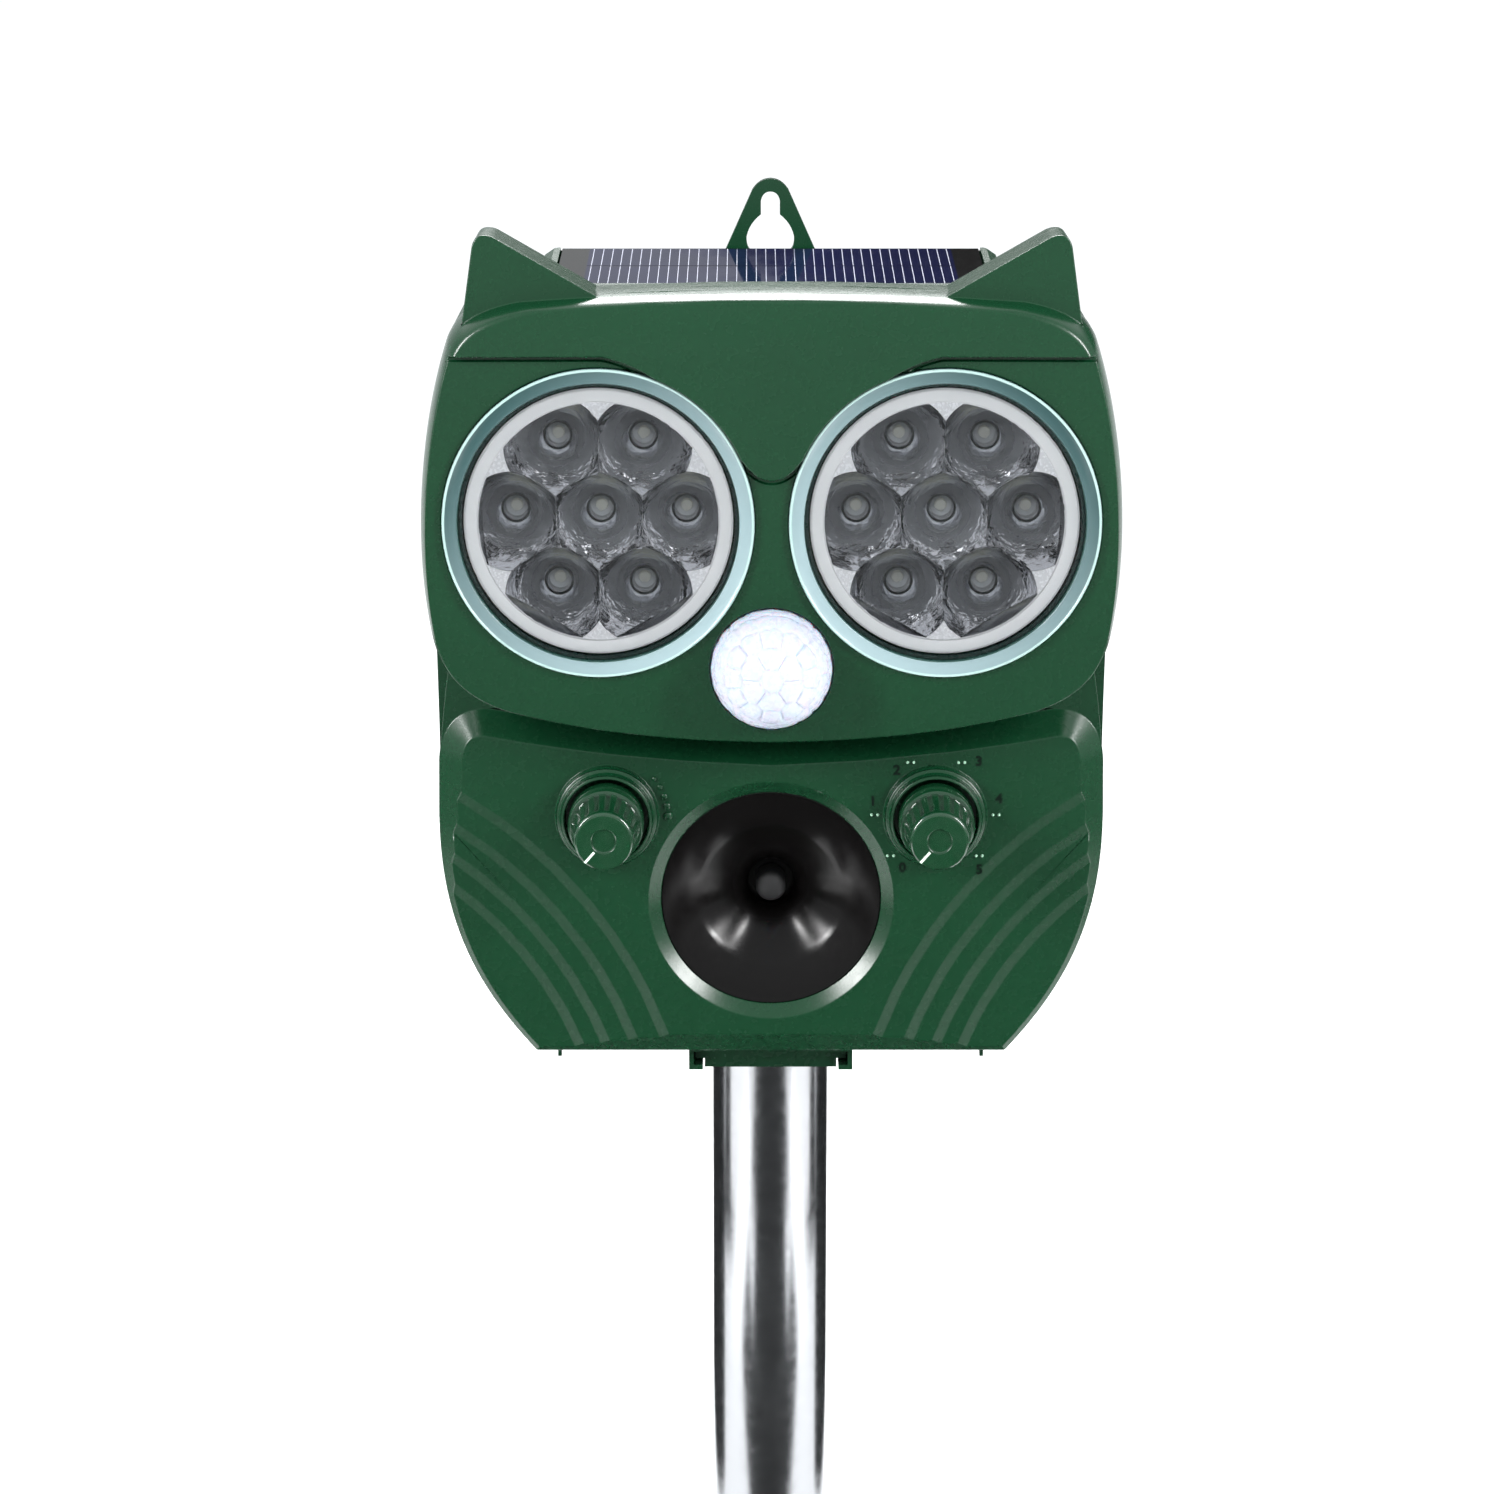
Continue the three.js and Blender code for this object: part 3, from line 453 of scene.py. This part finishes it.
TEMPLE = ((-71.3, 104), (-71, 128), (-64.2, 148.5))
HEAD_FRONT = mirrored((0, 68.3), [
    ((-30, 68.6), (-52, 74.4)),
    ((-63.5, 77.8), (-65.6, 88)),
    ((-68.8, 104), (-67.5, 128), (-61.8, 146)),
    ((-58.5, 152.5), (-45, 154.8)),
    ((-25, 156.6), (0, 156.6)),
])
HEAD_BACK = mirrored((0, 68.3), [
    ((-30, 68.6), (-52, 74.4)),
    ((-66, 78.6), (-68.2, 89.5)),
    TEMPLE,
    ((-61.5, 155), (-50.9, 156.8)),
    ((-25, 158.6), (0, 158.6)),
])
UNDER_BROW = mirrored((0, 50), [
    ((-80, 50),),
    ((-80, 146),),
    ((-33.4, 146.1),),
    ((-22, 144), (-12, 133), (-5, 124.4)),
    ((-2.6, 121.6), (0, 121.6)),
])
CHEST_SIDE = [((-48.4, 0),), ((-60, 13), (-67.7, 27), (-67.7, 50))]
CHEST = mirrored((0, 0), CHEST_SIDE + [
    ((-67.7, 66), (-64.8, 84)),
    ((-55, 90),),
    ((0, 90),),
])
CHEST_PANEL = mirrored((0, 0), CHEST_SIDE + [
    ((-67.3, 62),),
    ((-66.8, 72.8), (-57.5, 72.6)),
    ((-30, 67.5), (0, 66.5)),
])


def ear_outline(sign):
    left = [(-61.4, 148), (-58.7, 166.7)]
    left += bezier([left[-1], (-58.3, 169.4), (-56.2, 169.4)], 8)
    left += bezier([left[-1], (-55.2, 169.4), (-54.2, 168.9)], 4)
    left += [(-33.5, 157), (-36, 154.5), (-56, 151)]
    return [(-sign * x, z) for x, z in (left if sign < 0 else reversed(left))]


# ---------------------------------------------------------------- covers


def head_cover():
    """The head's front moulding, with ears, raised brow plate and its openings."""
    rings = [outlined(blended(HEAD_FRONT, HEAD_BACK, share), BROW_Y + deep) for share, deep in ROUNDING]
    rings += [outlined(HEAD_BACK, BROW_Y + HEAD_WIDEST), outlined(HEAD_BACK, COVER_BACK)]
    head = loft("head_cover_shell", rings, GREEN)
    join(head, *(plate(ear_outline(sign), -33, COVER_BACK) for sign in SIDES.values()))
    inner = [
        outlined(inset(blended(HEAD_FRONT, HEAD_BACK, 0.6), WALL), FACE_Y + WALL),
        outlined(inset(HEAD_BACK, WALL), BROW_Y + HEAD_WIDEST),
        outlined(inset(HEAD_BACK, WALL), 0),
    ]
    groove = cut(plate(UNDER_BROW, -60, FACE_Y + 0.7), plate(inset(UNDER_BROW, 0.9), -61, 0))
    cut(head, plate(UNDER_BROW, -60, FACE_Y), groove, loft("tool", inner, GREEN))
    holes = []
    for side in SIDES:
        x, z, radius = round_place(f"eye_ring_{side}")
        holes.append(bar(x, z, -50, -30, radius - 0.6, count=128))
    x, z, radius = round_place("sensor_dome")
    holes.append(bar(x, z, -50, -30, radius - 0.45, count=96))
    cut(head, *holes)
    return smooth(soften(head, 0.3, flat=True))


def chest_cover():
    """The chest's front moulding: chamfered panel, stepped feathers, dial bosses and speaker cone."""
    chest = plate(CHEST, CHAMFER_Y, COVER_BACK)
    chest.name = "chest_cover_shell"
    panel = loft("tool", [
        outlined(inset(CHEST_PANEL, 4.7), CHEST_Y),
        outlined(CHEST_PANEL, CHAMFER_Y),
        outlined(CHEST_PANEL, CHAMFER_Y + 1),
    ], GREEN)
    join(chest, panel)
    tools = []
    for sign in SIDES.values():
        for i, radius in enumerate(FEATHERS["radii"]):
            top = CHEST_Y + i * FEATHERS["step"]
            x, z = sign * FEATHERS["x"], FEATHERS["z"]
            profile = [(-40, radius + 1), (top, radius + 1), (top + FEATHERS["step"], radius - 1.2)]
            rings = [circle(x, y, z + base_mm(), reach, 300) for y, reach in profile]
            tools.append(loft("tool", rings, GREEN))
    tools.append(plate(inset(HEAD_BACK, -GAP), -60, 0))
    tools.append(plate(inset(CHEST, WALL), CHAMFER_Y + WALL, 0))
    cut(chest, *tools)
    knobs = [round_place(f"{name}_knob") for name in ("sensitivity", "frequency")]
    join(chest, *(dial_boss(x, z) for x, z, _ in knobs))
    x, z, _ = round_place("speaker_horn")
    openings = [
        bar(x, z, CHEST_Y - 1, CHEST_Y + 2, 26.3, 22.4, count=128),
        bar(x, z, CHEST_Y + 1, -20, 22.4, count=128),
    ]
    for x, z, _ in knobs:
        openings.append(bar(x, z, CHEST_Y - 5, CHEST_Y, 8.5, count=96))
        openings.append(bar(x, z, -40, -20, 3.7, count=48))
    cut(chest, *openings)
    return smooth(soften(chest, 0.2, angle=14, flat=True), 12)


def dial_boss(x, z):
    """The stepped and rounded collar round a knob."""
    profile = [
        (8.7, -33), (9.0, -32.93), (9.2, -32.75), (9.35, -32.4), (9.4, -31.6), (9.5, -31.1),
        (9.8, -31.0), (10.1, -30.87), (10.35, -30.6), (10.5, -30.2), (10.5, -28.5),
    ]
    return loft("tool", [circle(x, y, z + base_mm(), radius, 96) for radius, y in profile], GREEN)


def dot(x, z, radius):
    """A small raised bead on the chest panel."""
    profile = [(radius, CHEST_Y), (radius * 0.92, CHEST_Y - 0.25), (radius * 0.6, CHEST_Y - 0.45)]
    rings = [circle(x, y, z + base_mm(), reach, 16) for reach, y in [(radius, CHEST_Y + 0.3), *profile]]
    rings.append(circle(x, CHEST_Y - 0.5, z + base_mm(), radius * 0.2, 16))
    return smooth(loft("scale_dot", list(reversed(rings)), GREEN), 60)


def dial_marks():
    """The raised beads of both scales and the digits of the frequency scale."""
    x, z, _ = round_place("frequency_knob")
    for digit, angle in enumerate((-133, -89, -24.5, 25, 89, 133)):
        turn = math.radians(angle)
        for nudge in (-0.62, 0.62):
            across, up = SCALE_RADIUS * math.sin(turn), SCALE_RADIUS * math.cos(turn)
            bead = dot(x + across + nudge, z + up, 0.3)
            bead.data.materials[0] = PALE_DOT
            bead.name = f"frequency_dot_{digit}_{'a' if nudge < 0 else 'b'}"
            stand_for(bead, "housing", "green_shell")
        number(digit, x, z, angle)
    x, z, _ = round_place("sensitivity_knob")
    for i in range(5):
        turn = math.radians(51 + 9.8 * i)
        across, up = SCALE_RADIUS * math.sin(turn), SCALE_RADIUS * math.cos(turn)
        bead = dot(x + across, z + up, 0.5 + 0.11 * i)
        bead.name = f"sensitivity_dot_{i + 1}"
        stand_for(bead, "housing", "green_shell")


def number(digit, x, z, angle):
    """One printed digit beside its pair of beads."""
    offsets = ((2.4, -2.6), (-0.4, 2.8), (-2.8, -1.7), (3.5, 0.2), (0.6, 3.3), (0.1, -3.0))
    text = bpy.data.curves.new(f"digit_{digit}", "FONT")
    text.body = str(digit)
    text.size = 2.8 * MM
    text.extrude = 0.1 * MM
    text.offset = 0.07 * MM
    text.align_x = "CENTER"
    text.align_y = "CENTER"
    label = bpy.data.objects.new(f"digit_{digit}", text)
    bpy.context.scene.collection.objects.link(label)
    turn = math.radians(angle)
    across = x + SCALE_RADIUS * math.sin(turn) + offsets[digit][0]
    up = z + SCALE_RADIUS * math.cos(turn) + offsets[digit][1]
    label.location = Vector((across, CHEST_Y - 0.03, up + base_mm())) * MM
    label.rotation_euler = (math.radians(90), 0, 0)
    label.data.materials.append(INK)
    stand_for(label, "housing", "green_shell")


# ---------------------------------------------------------------- eyes


def eye_ring(side):
    """The blue-grey ring round an eye, with a polished outer edge that is lighter by a painted highlight,
    and painted shade on its inside.
    """
    x, z, _ = round_place(f"eye_ring_{side}")
    profile = [
        (27.9, -33.9), (27.85, -36.0), (27.95, -36.3), (28.1, -36.42), (28.3, -36.4),
        (30.35, -36.78), (30.5, -36.95), (30.75, -36.9), (30.9, -36.6), (30.9, -33.7),
        (31.6, -33.7), (31.6, -32.4), (27.1, -32.4), (27.1, -33.9),
    ]
    ring = turned(f"eye_ring_{side}_moulded", x, z, profile, RING, 128)
    ring.data.materials.append(RING_EDGE_POLISH_AND_HIGHLIGHT)
    ring.data.materials.append(RING_GAP_PAINTED_SHADE)
    for face in ring.data.polygons:
        place = face.center / MM
        reach = math.hypot(place.x - x, place.z - base_mm() - z)
        # front faces on the outer edge get the painted highlight
        if reach > 30.4 and place.y < -36.5:
            face.material_index = 1
        # faces of the inside wall get painted shade
        elif reach < 28.0:
            face.material_index = 2
    return stand_for(smooth(ring, 40), "housing", "ring_plastic", f"eye_ring_{side}")


def eye_lens(side):
    x, z, _ = round_place(f"eye_lens_{side}")
    profile = [(0, -35.45), (20, -35.42), (27.2, -35.3), (27.5, -35.1), (27.5, -34.3), (0, -34.3)]
    lens = turned(f"eye_lens_{side}_moulded", x, z, profile, CLEAR, 96)
    return stand_for(smooth(lens), "housing", "clear_lens", f"eye_lens_{side}")


def cup_centres(x, z):
    around = [math.radians(60 * i) for i in range(6)]
    pitch = CUP["pitch"]
    return [(x, z)] + [(x + pitch * math.cos(turn), z + pitch * math.sin(turn)) for turn in around]


def reflector(side):
    """The metallised reflector: seven deep cups meeting in sharp ridges inside a flat rim."""
    x, z, radius = round_place(f"reflector_{side}")
    front, back = CUP["front"], CUP["back"]
    body = bar(x, z, front, back + 0.7, radius, count=128, material=CHROME)
    body.name = f"reflector_{side}_cups"
    growth = (CUP["mouth"] ** 2 - CUP["throat"] ** 2) / (back - front)
    shares = [0, 0.02, 0.06, 0.12, 0.2, 0.3, 0.42, 0.56, 0.7, 0.85, 1.0]
    tools = []
    for cup_x, cup_z in cup_centres(x, z):
        rings = [circle(cup_x, back + 2, cup_z + base_mm(), CUP["throat"], 48)]
        for share in shares:
            deep = share * (back - front)
            reach = math.sqrt(CUP["throat"] ** 2 + growth * deep)
            rings.append(circle(cup_x, back - deep, cup_z + base_mm(), reach, 48))
        rings.append(circle(cup_x, front - 1, cup_z + base_mm(), CUP["mouth"] + 0.3, 48))
        tools.append(loft("tool", list(reversed(rings)), CHROME))
    cups = join(tools[0], *tools[1:])
    combine(cups, [bar(x, z, front - 2, back + 3, CUP["rim"], count=128, material=CHROME)], "INTERSECT")
    cut(body, cups)
    body.data.materials.clear()
    for material in (CHROME, DIMPLED, RIM):
        body.data.materials.append(material)
    for face in body.data.polygons:
        face.material_index = 0
        if face.center.y / MM < front + 0.01 and face.normal.y < -0.9:
            face.material_index = 1
    rim = turned(f"reflector_{side}_rim", x, z, [
        (23.9, front - 0.02), (24.1, front - 0.3), (26.3, front - 0.32),
        (26.7, front - 0.05), (26.7, front + 0.2), (23.9, front + 0.2),
    ], RIM, 128)
    stand_for(smooth(rim), "housing", "reflector_chrome")
    smooth(soften(body, 0.2, angle=24, segments=3), 50)
    return stand_for(body, "housing", "reflector_chrome", f"reflector_{side}")


def led(side, index, x, z):
    """A clear 5 mm diode in its own cup, with its anvil and phosphor chip inside."""
    name = f"led_{side}_{index}"
    profile = [(0, -20.9)]
    for i in range(1, 9):
        turn = math.radians(90 * i / 8)
        profile.append((2.5 * math.sin(turn), -18.4 - 2.5 * math.cos(turn)))
    profile += [(2.5, -13.4), (2.85, -13.3), (2.85, -12.3), (0, -12.3)]
    bulb = turned(f"{name}_epoxy", x, z, profile, EPOXY, 32)
    stand_for(smooth(bulb, 50), "housing", "led_epoxy", name)
    anvil = [
        (0, -16.7), (0.45, -16.7), (0.95, -17.0), (1.05, -16.9), (0.7, -15.8), (0.4, -12.6), (0, -12.6),
    ]
    core = turned(f"{name}_anvil", x, z, anvil, ZINC, 20)
    stand_for(smooth(core), "housing", "zinc_hardware")
    drop = [(0, -17.0), (0.5, -16.95), (0.55, -16.75), (0, -16.72)]
    chip = turned(f"{name}_chip", x, z, drop, CHIP, 16)
    stand_for(smooth(chip), "housing", "led_epoxy")


def eyes():
    for side in SIDES:
        eye_ring(side)
        eye_lens(side)
        reflector(side)
        x, z, _ = round_place(f"reflector_{side}")
        for index, (led_x, led_z) in enumerate(cup_centres(x, z), start=1):
            led(side, index, led_x, led_z)


def sensor_dome():
    """The motion sensor's milky half ball, its surface a mosaic of small Fresnel cells."""
    x, z, _ = round_place("sensor_dome")
    radius, middle = 12.1, -35.5
    cells = [(0.0, 0.0)]
    for ring, number_round in ((1, 6), (2, 12), (3, 17), (4, 20)):
        polar = math.radians(21.5 * ring)
        cells += [(polar, 2 * math.pi * (i + 0.5 * (ring % 2)) / number_round) for i in range(number_round)]
    spots = [
        Vector((math.sin(polar) * math.cos(turn), -math.cos(polar), math.sin(polar) * math.sin(turn)))
        for polar, turn in cells
    ]
    rings = []
    for i in range(64, -1, -1):
        polar = math.radians(max(0.3, 90 * i / 64))
        ring = []
        for k in range(144):
            turn = 2 * math.pi * k / 144
            away = math.sin(polar)
            ray = Vector((away * math.sin(turn), -math.cos(polar), away * math.cos(turn)))
            near = sorted((ray.angle(spot) for spot in spots))[:2]
            seam = min(1.0, (near[1] - near[0]) / math.radians(3.2))
            reach = radius - 0.22 * (1 - seam) ** 2 - 0.12 * (near[0] / math.radians(11)) ** 2
            ring.append((x + reach * ray.x, middle + reach * ray.y, z + base_mm() + reach * ray.z))
        rings.append(ring)
    height = z + base_mm()
    rings = [circle(x, -32.6, height, 12.7, 144), circle(x, -33.7, height, 12.7, 144),
             circle(x, -33.75, height, 11.9, 144)] + rings
    dome = loft("sensor_dome_lens", list(reversed(rings)), MILK)
    return stand_for(smooth(dome, 50), "housing", "milky_dome", "sensor_dome")


# ---------------------------------------------------------------- speaker and knobs


def speaker():
    x, z, _ = round_place("speaker_horn")
    inside = [(22.2, -27.2)]
    inside += bezier([(22.2, -27.2), (18.6, -26.5), (15, -24.6)], 16)
    inside += bezier([(15, -24.6), (6.2, -17.9), (4.6, -16.4), (4.6, -11.3)], 24)
    outside = [
        (6.2, -11.3), (7.8, -16.6), (11.4, -20.6), (17, -23.6), (25.6, -25.2), (25.6, -26.7), (22.2, -26.9),
    ]
    horn = turned("speaker_horn_flare", x, z, inside + outside, BLACK, 128)
    stand_for(smooth(horn, 40), "housing", "black_plastic", "speaker_horn")
    turns = [math.radians(angle) for angle in range(0, 91, 15)]
    tip = [(3.1 * math.sin(turn), -17.6 - 2.0 * math.cos(turn)) for turn in turns]
    plug = turned("phase_plug_turned", x, z, tip + [(3.1, -11.3), (0, -11.3)], PLUG, 48)
    stand_for(smooth(plug, 40), "housing", "black_plastic", "phase_plug")


def knob(name):
    """A fluted knob on a skirt, with a sunk cap and a pale pointer line."""
    x, z, radius = round_place(f"{name}_knob")
    low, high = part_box(f"{name}_knob")
    top, base = low.y / MM, high.y / MM
    skirt = base - 6
    def fluted(reach, depth, y):
        points = []
        for i in range(180):
            turn = 2 * math.pi * i / 180
            wave = max(0.0, math.sin(18 * turn)) ** 0.5
            away = reach - depth * wave
            points.append((x + away * math.sin(turn), y, z + base_mm() + away * math.cos(turn)))
        return points
    rings = [
        fluted(2.15, 0, top + 0.35), fluted(2.35, 0, top + 0.35), fluted(2.45, 0, top + 0.3),
        fluted(2.5, 0, top + 0.1), fluted(2.6, 0, top), fluted(2.8, 0, top),
        fluted(5.15, 0, top), fluted(5.35, 0, top), fluted(5.6, 0, top + 0.05),
        fluted(5.85, 0, top + 0.3), fluted(5.97, 0, top + 0.8), fluted(6.05, 0, top + 1.9),
        fluted(6.1, 0.35, top + 2.5), fluted(6.9, 0.6, skirt - 0.3), fluted(6.95, 0.6, skirt),
        fluted(7.2, 0, skirt + 0.02), fluted(7.45, 0, skirt + 0.12), fluted(7.6, 0, skirt + 0.45),
        fluted(radius, 0, base), fluted(3.3, 0, base), fluted(3.2, 0, base - 10),
    ]
    body = loft(f"{name}_knob_moulded", rings, GREEN_KNOB)
    stand_for(smooth(body, 38), f"{name}_dial", "green_knob", f"{name}_knob")
    along = Vector((math.sin(POINTER_ANGLE), 0, math.cos(POINTER_ANGLE)))
    across = Vector((math.cos(POINTER_ANGLE), 0, -math.sin(POINTER_ANGLE)))
    corners = []
    for y, shrink in ((top - 0.04, 0.8), (top + 0.3, 1.0)):
        for reach, side in ((2.9, -0.3), (5.75, -0.3), (5.75, 0.3), (2.9, 0.3)):
            point = Vector((x, y, z + base_mm())) + along * reach + across * side * shrink
            corners.append(tuple(point))
    line = loft(f"{name}_pointer", [corners[:4], corners[4:]], POINTER)
    stand_for(line, f"{name}_dial", "green_knob")


# ---------------------------------------------------------------- solar panel


def solar_panel():
    """Dark cells with fine silver lines in a black border, tilted as the CAD panel is."""
    low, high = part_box("solar_panel")
    rise = high.z - low.z - PANEL_THICK * MM * math.cos(SOLAR_TILT)
    slope = rise / (high.y - low.y)
    front, back = low.y / MM, high.y / MM - 0.13
    x = high.x / MM
    def slab(x0, x1, y0, y1, lift, thick):
        points = []
        for drop in (lift, lift - thick):
            for px, py in ((x0, y0), (x1, y0), (x1, y1), (x0, y1)):
                height = high.z / MM - (back - py) * slope + drop
                points.append((px, py, height))
        faces = [(0, 1, 2, 3), (7, 6, 5, 4), (0, 4, 5, 1), (1, 5, 6, 2), (2, 6, 7, 3), (3, 7, 4, 0)]
        return points, faces
    def many(name, slabs, material, slot, *replaced):
        points, faces = [], []
        for each in slabs:
            own_points, own_faces = slab(*each)
            faces += [tuple(i + len(points) for i in face) for face in own_faces]
            points += own_points
        return stand_for(make(name, points, faces, material), "housing", slot, *replaced)
    whole = [(-x, x, front, back, -0.06, 1.9)]
    base = many("solar_panel_base", whole, CELL_BLACK, "solar_cell", "solar_panel")
    soften(base, 0.15)
    border, gap = 5.9, 0.7
    rows = 2
    deep = (back - front - 1.6 - gap) / rows
    cells, lines = [], []
    for row in range(rows):
        start = front + 0.8 + row * (deep + gap)
        cells.append((-x + border, x - border, start, start + deep, -0.03, 0.08))
        for i in range(LINES_PER_ROW):
            middle = -x + border + 0.95 + i * (2 * (x - border) - 1.9) / (LINES_PER_ROW - 1)
            lines.append((middle - 0.08, middle + 0.08, start + 0.2, start + deep - 0.2, -0.01, 0.05))
    many("solar_cells", cells, CELL_BLUE, "solar_cell")
    many("solar_cell_lines", lines, CELL_LINE, "solar_cell")


# ---------------------------------------------------------------- stake and the plain CAD pieces


def stake_tube():
    low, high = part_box("stake_tube")
    outer = (high.x - low.x) / 2 / MM
    bottom, top = low.z / MM, high.z / MM
    profile = [(outer - 1.2, top), (outer - 0.3, top), (outer, top - 0.3), (outer, bottom + 0.3),
               (outer - 0.3, bottom), (outer - 1.2, bottom)]
    rings = []
    for reach, z in profile:
        turns = [2 * math.pi * i / 128 for i in range(128)]
        rings.append([(-reach * math.sin(turn), -reach * math.cos(turn), z) for turn in turns])
    tube = loft("stake_tube_polished", rings, TUBE_STEEL, closed=True)
    return stand_for(smooth(tube), "stake", "stainless_tube", "stake_tube")


def dress_cad_nodes():
    """Materials, and rounded edges, on the CAD nodes that stay."""
    for node in ("rear_case", "solar_frame", "hanger_tab", "stake_adapter"):
        paint(node, GREEN)
        smooth(soften(nodes[node], 0.35, flat=True))
    nodes["rear_case"].modifiers["edges"].harden_normals = False
    even = nodes["rear_case"].modifiers.new("even_shading", "WEIGHTED_NORMAL")
    even.keep_sharp = True
    paint("ground_spike", SPIKE)
    smooth(soften(nodes["ground_spike"], 0.3, flat=True))
    paint("usb_cover", RUBBER)
    smooth(soften(nodes["usb_cover"], 0.35, flat=True, segments=3))
    plain = {
        "led_board_left": WHITE_BOARD, "led_board_right": WHITE_BOARD, "sensor_board": BOARD,
        "main_board": BOARD, "sensor_can": ZINC, "speaker_driver": BLACK, "usb_socket": ZINC,
        "battery_cell": SLEEVE, "battery_holder": SPIKE, "solar_lead": LEAD, "speaker_lead": LEAD,
    }
    for name in ("sensitivity", "frequency"):
        plain.update({f"{name}_pot": ZINC, f"{name}_nut": ZINC, f"{name}_shaft": ZINC})
    plain.update({f"case_screw_{i}": ZINC for i in range(1, 7)})
    for node, material in plain.items():
        paint(node, material)
        smooth(soften(nodes[node], 0.1, flat=True))


# ---------------------------------------------------------------- light and camera


def softbox(name, place, target, width, height, power):
    """An area light in metres and watts, aimed at a target and unseen by the camera."""
    light = bpy.data.lights.new(name, "AREA")
    light.shape = "RECTANGLE"
    light.size = width
    light.size_y = height
    light.energy = power
    lamp = bpy.data.objects.new(name, light)
    bpy.context.scene.collection.objects.link(lamp)
    lamp.location = place
    lamp.rotation_euler = (Vector(target) - Vector(place)).to_track_quat("-Z", "Y").to_euler()
    lamp.visible_camera = False


def stage_floor():
    """A plain pale floor that runs out to the horizon."""
    reach = 30000
    z = FLOOR_Z / MM
    material = surface("pale_floor", rgb(246, 246, 246), 1.0, tint=0.01, grain=40, relief=0.0,
                       uneven=0.0, Specular_IOR_Level=0.0)
    points = [(-reach, -reach, z), (reach, -reach, z), (reach, reach, z), (-reach, reach, z)]
    make("floor", points, [(0, 1, 2, 3)], material)


def sky():
    """A room that is dim at eye level and brighter overhead."""
    world = bpy.data.worlds.new("studio")
    bpy.context.scene.world = world
    world.use_nodes = True
    tree = world.node_tree
    place = tree.nodes.new("ShaderNodeTexCoord")
    split = tree.nodes.new("ShaderNodeSeparateXYZ")
    height = tree.nodes.new("ShaderNodeMapRange")
    height.inputs["From Min"].default_value = 0.15
    height.inputs["From Max"].default_value = 0.75
    height.inputs["To Min"].default_value = 0.65
    height.inputs["To Max"].default_value = 0.85
    tree.links.new(place.outputs["Generated"], split.inputs["Vector"])
    tree.links.new(split.outputs["Z"], height.inputs["Value"])
    background = tree.nodes["Background"]
    background.inputs["Color"].default_value = (0.95, 0.98, 1.0, 1)
    tree.links.new(height.outputs["Result"], background.inputs["Strength"])


def dark_card(name, corners):
    """A dark card that only reflections see, as used to give polished surfaces their dark lines."""
    card = make(name, corners, [(0, 1, 2, 3)], surface(f"{name}_felt", rgb(18, 19, 19), 0.9))
    for ray in ("camera", "diffuse", "transmission", "shadow"):
        setattr(card, f"visible_{ray}", False)


def flat_card(name, x0, x1, y0, y1):
    """A dark card lying 1 mm above the floor."""
    z = FLOOR_Z / MM + 1
    dark_card(name, [(x0, y0, z), (x1, y0, z), (x1, y1, z), (x0, y1, z)])


def cards():
    """Cards round and under the owl, to the sides of the tube, and one that the panel mirrors."""
    flat_card("front_card", -330, 330, -1500, -420)
    flat_card("middle_card", -225, 225, -419, -330)
    flat_card("wide_card", -330, 330, -329, -200)
    flat_card("near_card", -130, 130, -199, 100)
    flat_card("left_card", -2500, -450, -2500, 120)
    flat_card("right_card", 450, 2500, -2500, 120)
    low = FLOOR_Z / MM + 1
    for side, sign in SIDES.items():
        x0, y0, x1, y1 = sign * 260, 60, sign * 110, 330
        dark_card(f"edge_card_{side}", [(x0, y0, low), (x1, y1, low), (x1, y1, 130), (x0, y0, 130)])
    dark_card("panel_card", [(-186, 500, 290), (700, 500, 290), (700, 500, 600), (315, 500, 600)])


def studio():
    stage_floor()
    sky()
    cards()
    softbox("far_floor", (0, 4.6, 3.2), (0, 4.6, -0.1), 8, 9, 150)
    softbox("top_back", (0, 0.84, 0.98), (0, 0, 0.27), 0.6, 0.36, 14)
    for side, sign in SIDES.items():
        softbox(f"key_{side}", (sign * 0.635, -0.41, 0.546), (0, 0, 0.16), 0.11, 0.42, 9)
        softbox(f"low_{side}", (sign * 0.42, -0.2, -0.045), (0, 0, -0.045), 0.36, 0.11, 0.32)
    bpy.context.scene.view_settings.view_transform = "Standard"


def photo_camera():
    lens = bpy.data.cameras.new("camera")
    lens.lens = 96
    lens.sensor_width = 36
    lens.clip_end = 100
    camera = bpy.data.objects.new("camera", lens)
    bpy.context.scene.collection.objects.link(camera)
    camera.location = (-0.0043, -0.8132, 0.3792)
    camera.rotation_euler = (math.radians(76), 0, 0)
    bpy.context.scene.camera = camera


photo_camera()
studio()
stand_for(head_cover(), "housing", "green_shell", "head_cover")
stand_for(chest_cover(), "housing", "green_shell", "chest_cover")
dial_marks()
eyes()
sensor_dome()
speaker()
knob("sensitivity")
knob("frequency")
solar_panel()
stake_tube()
dress_cad_nodes()
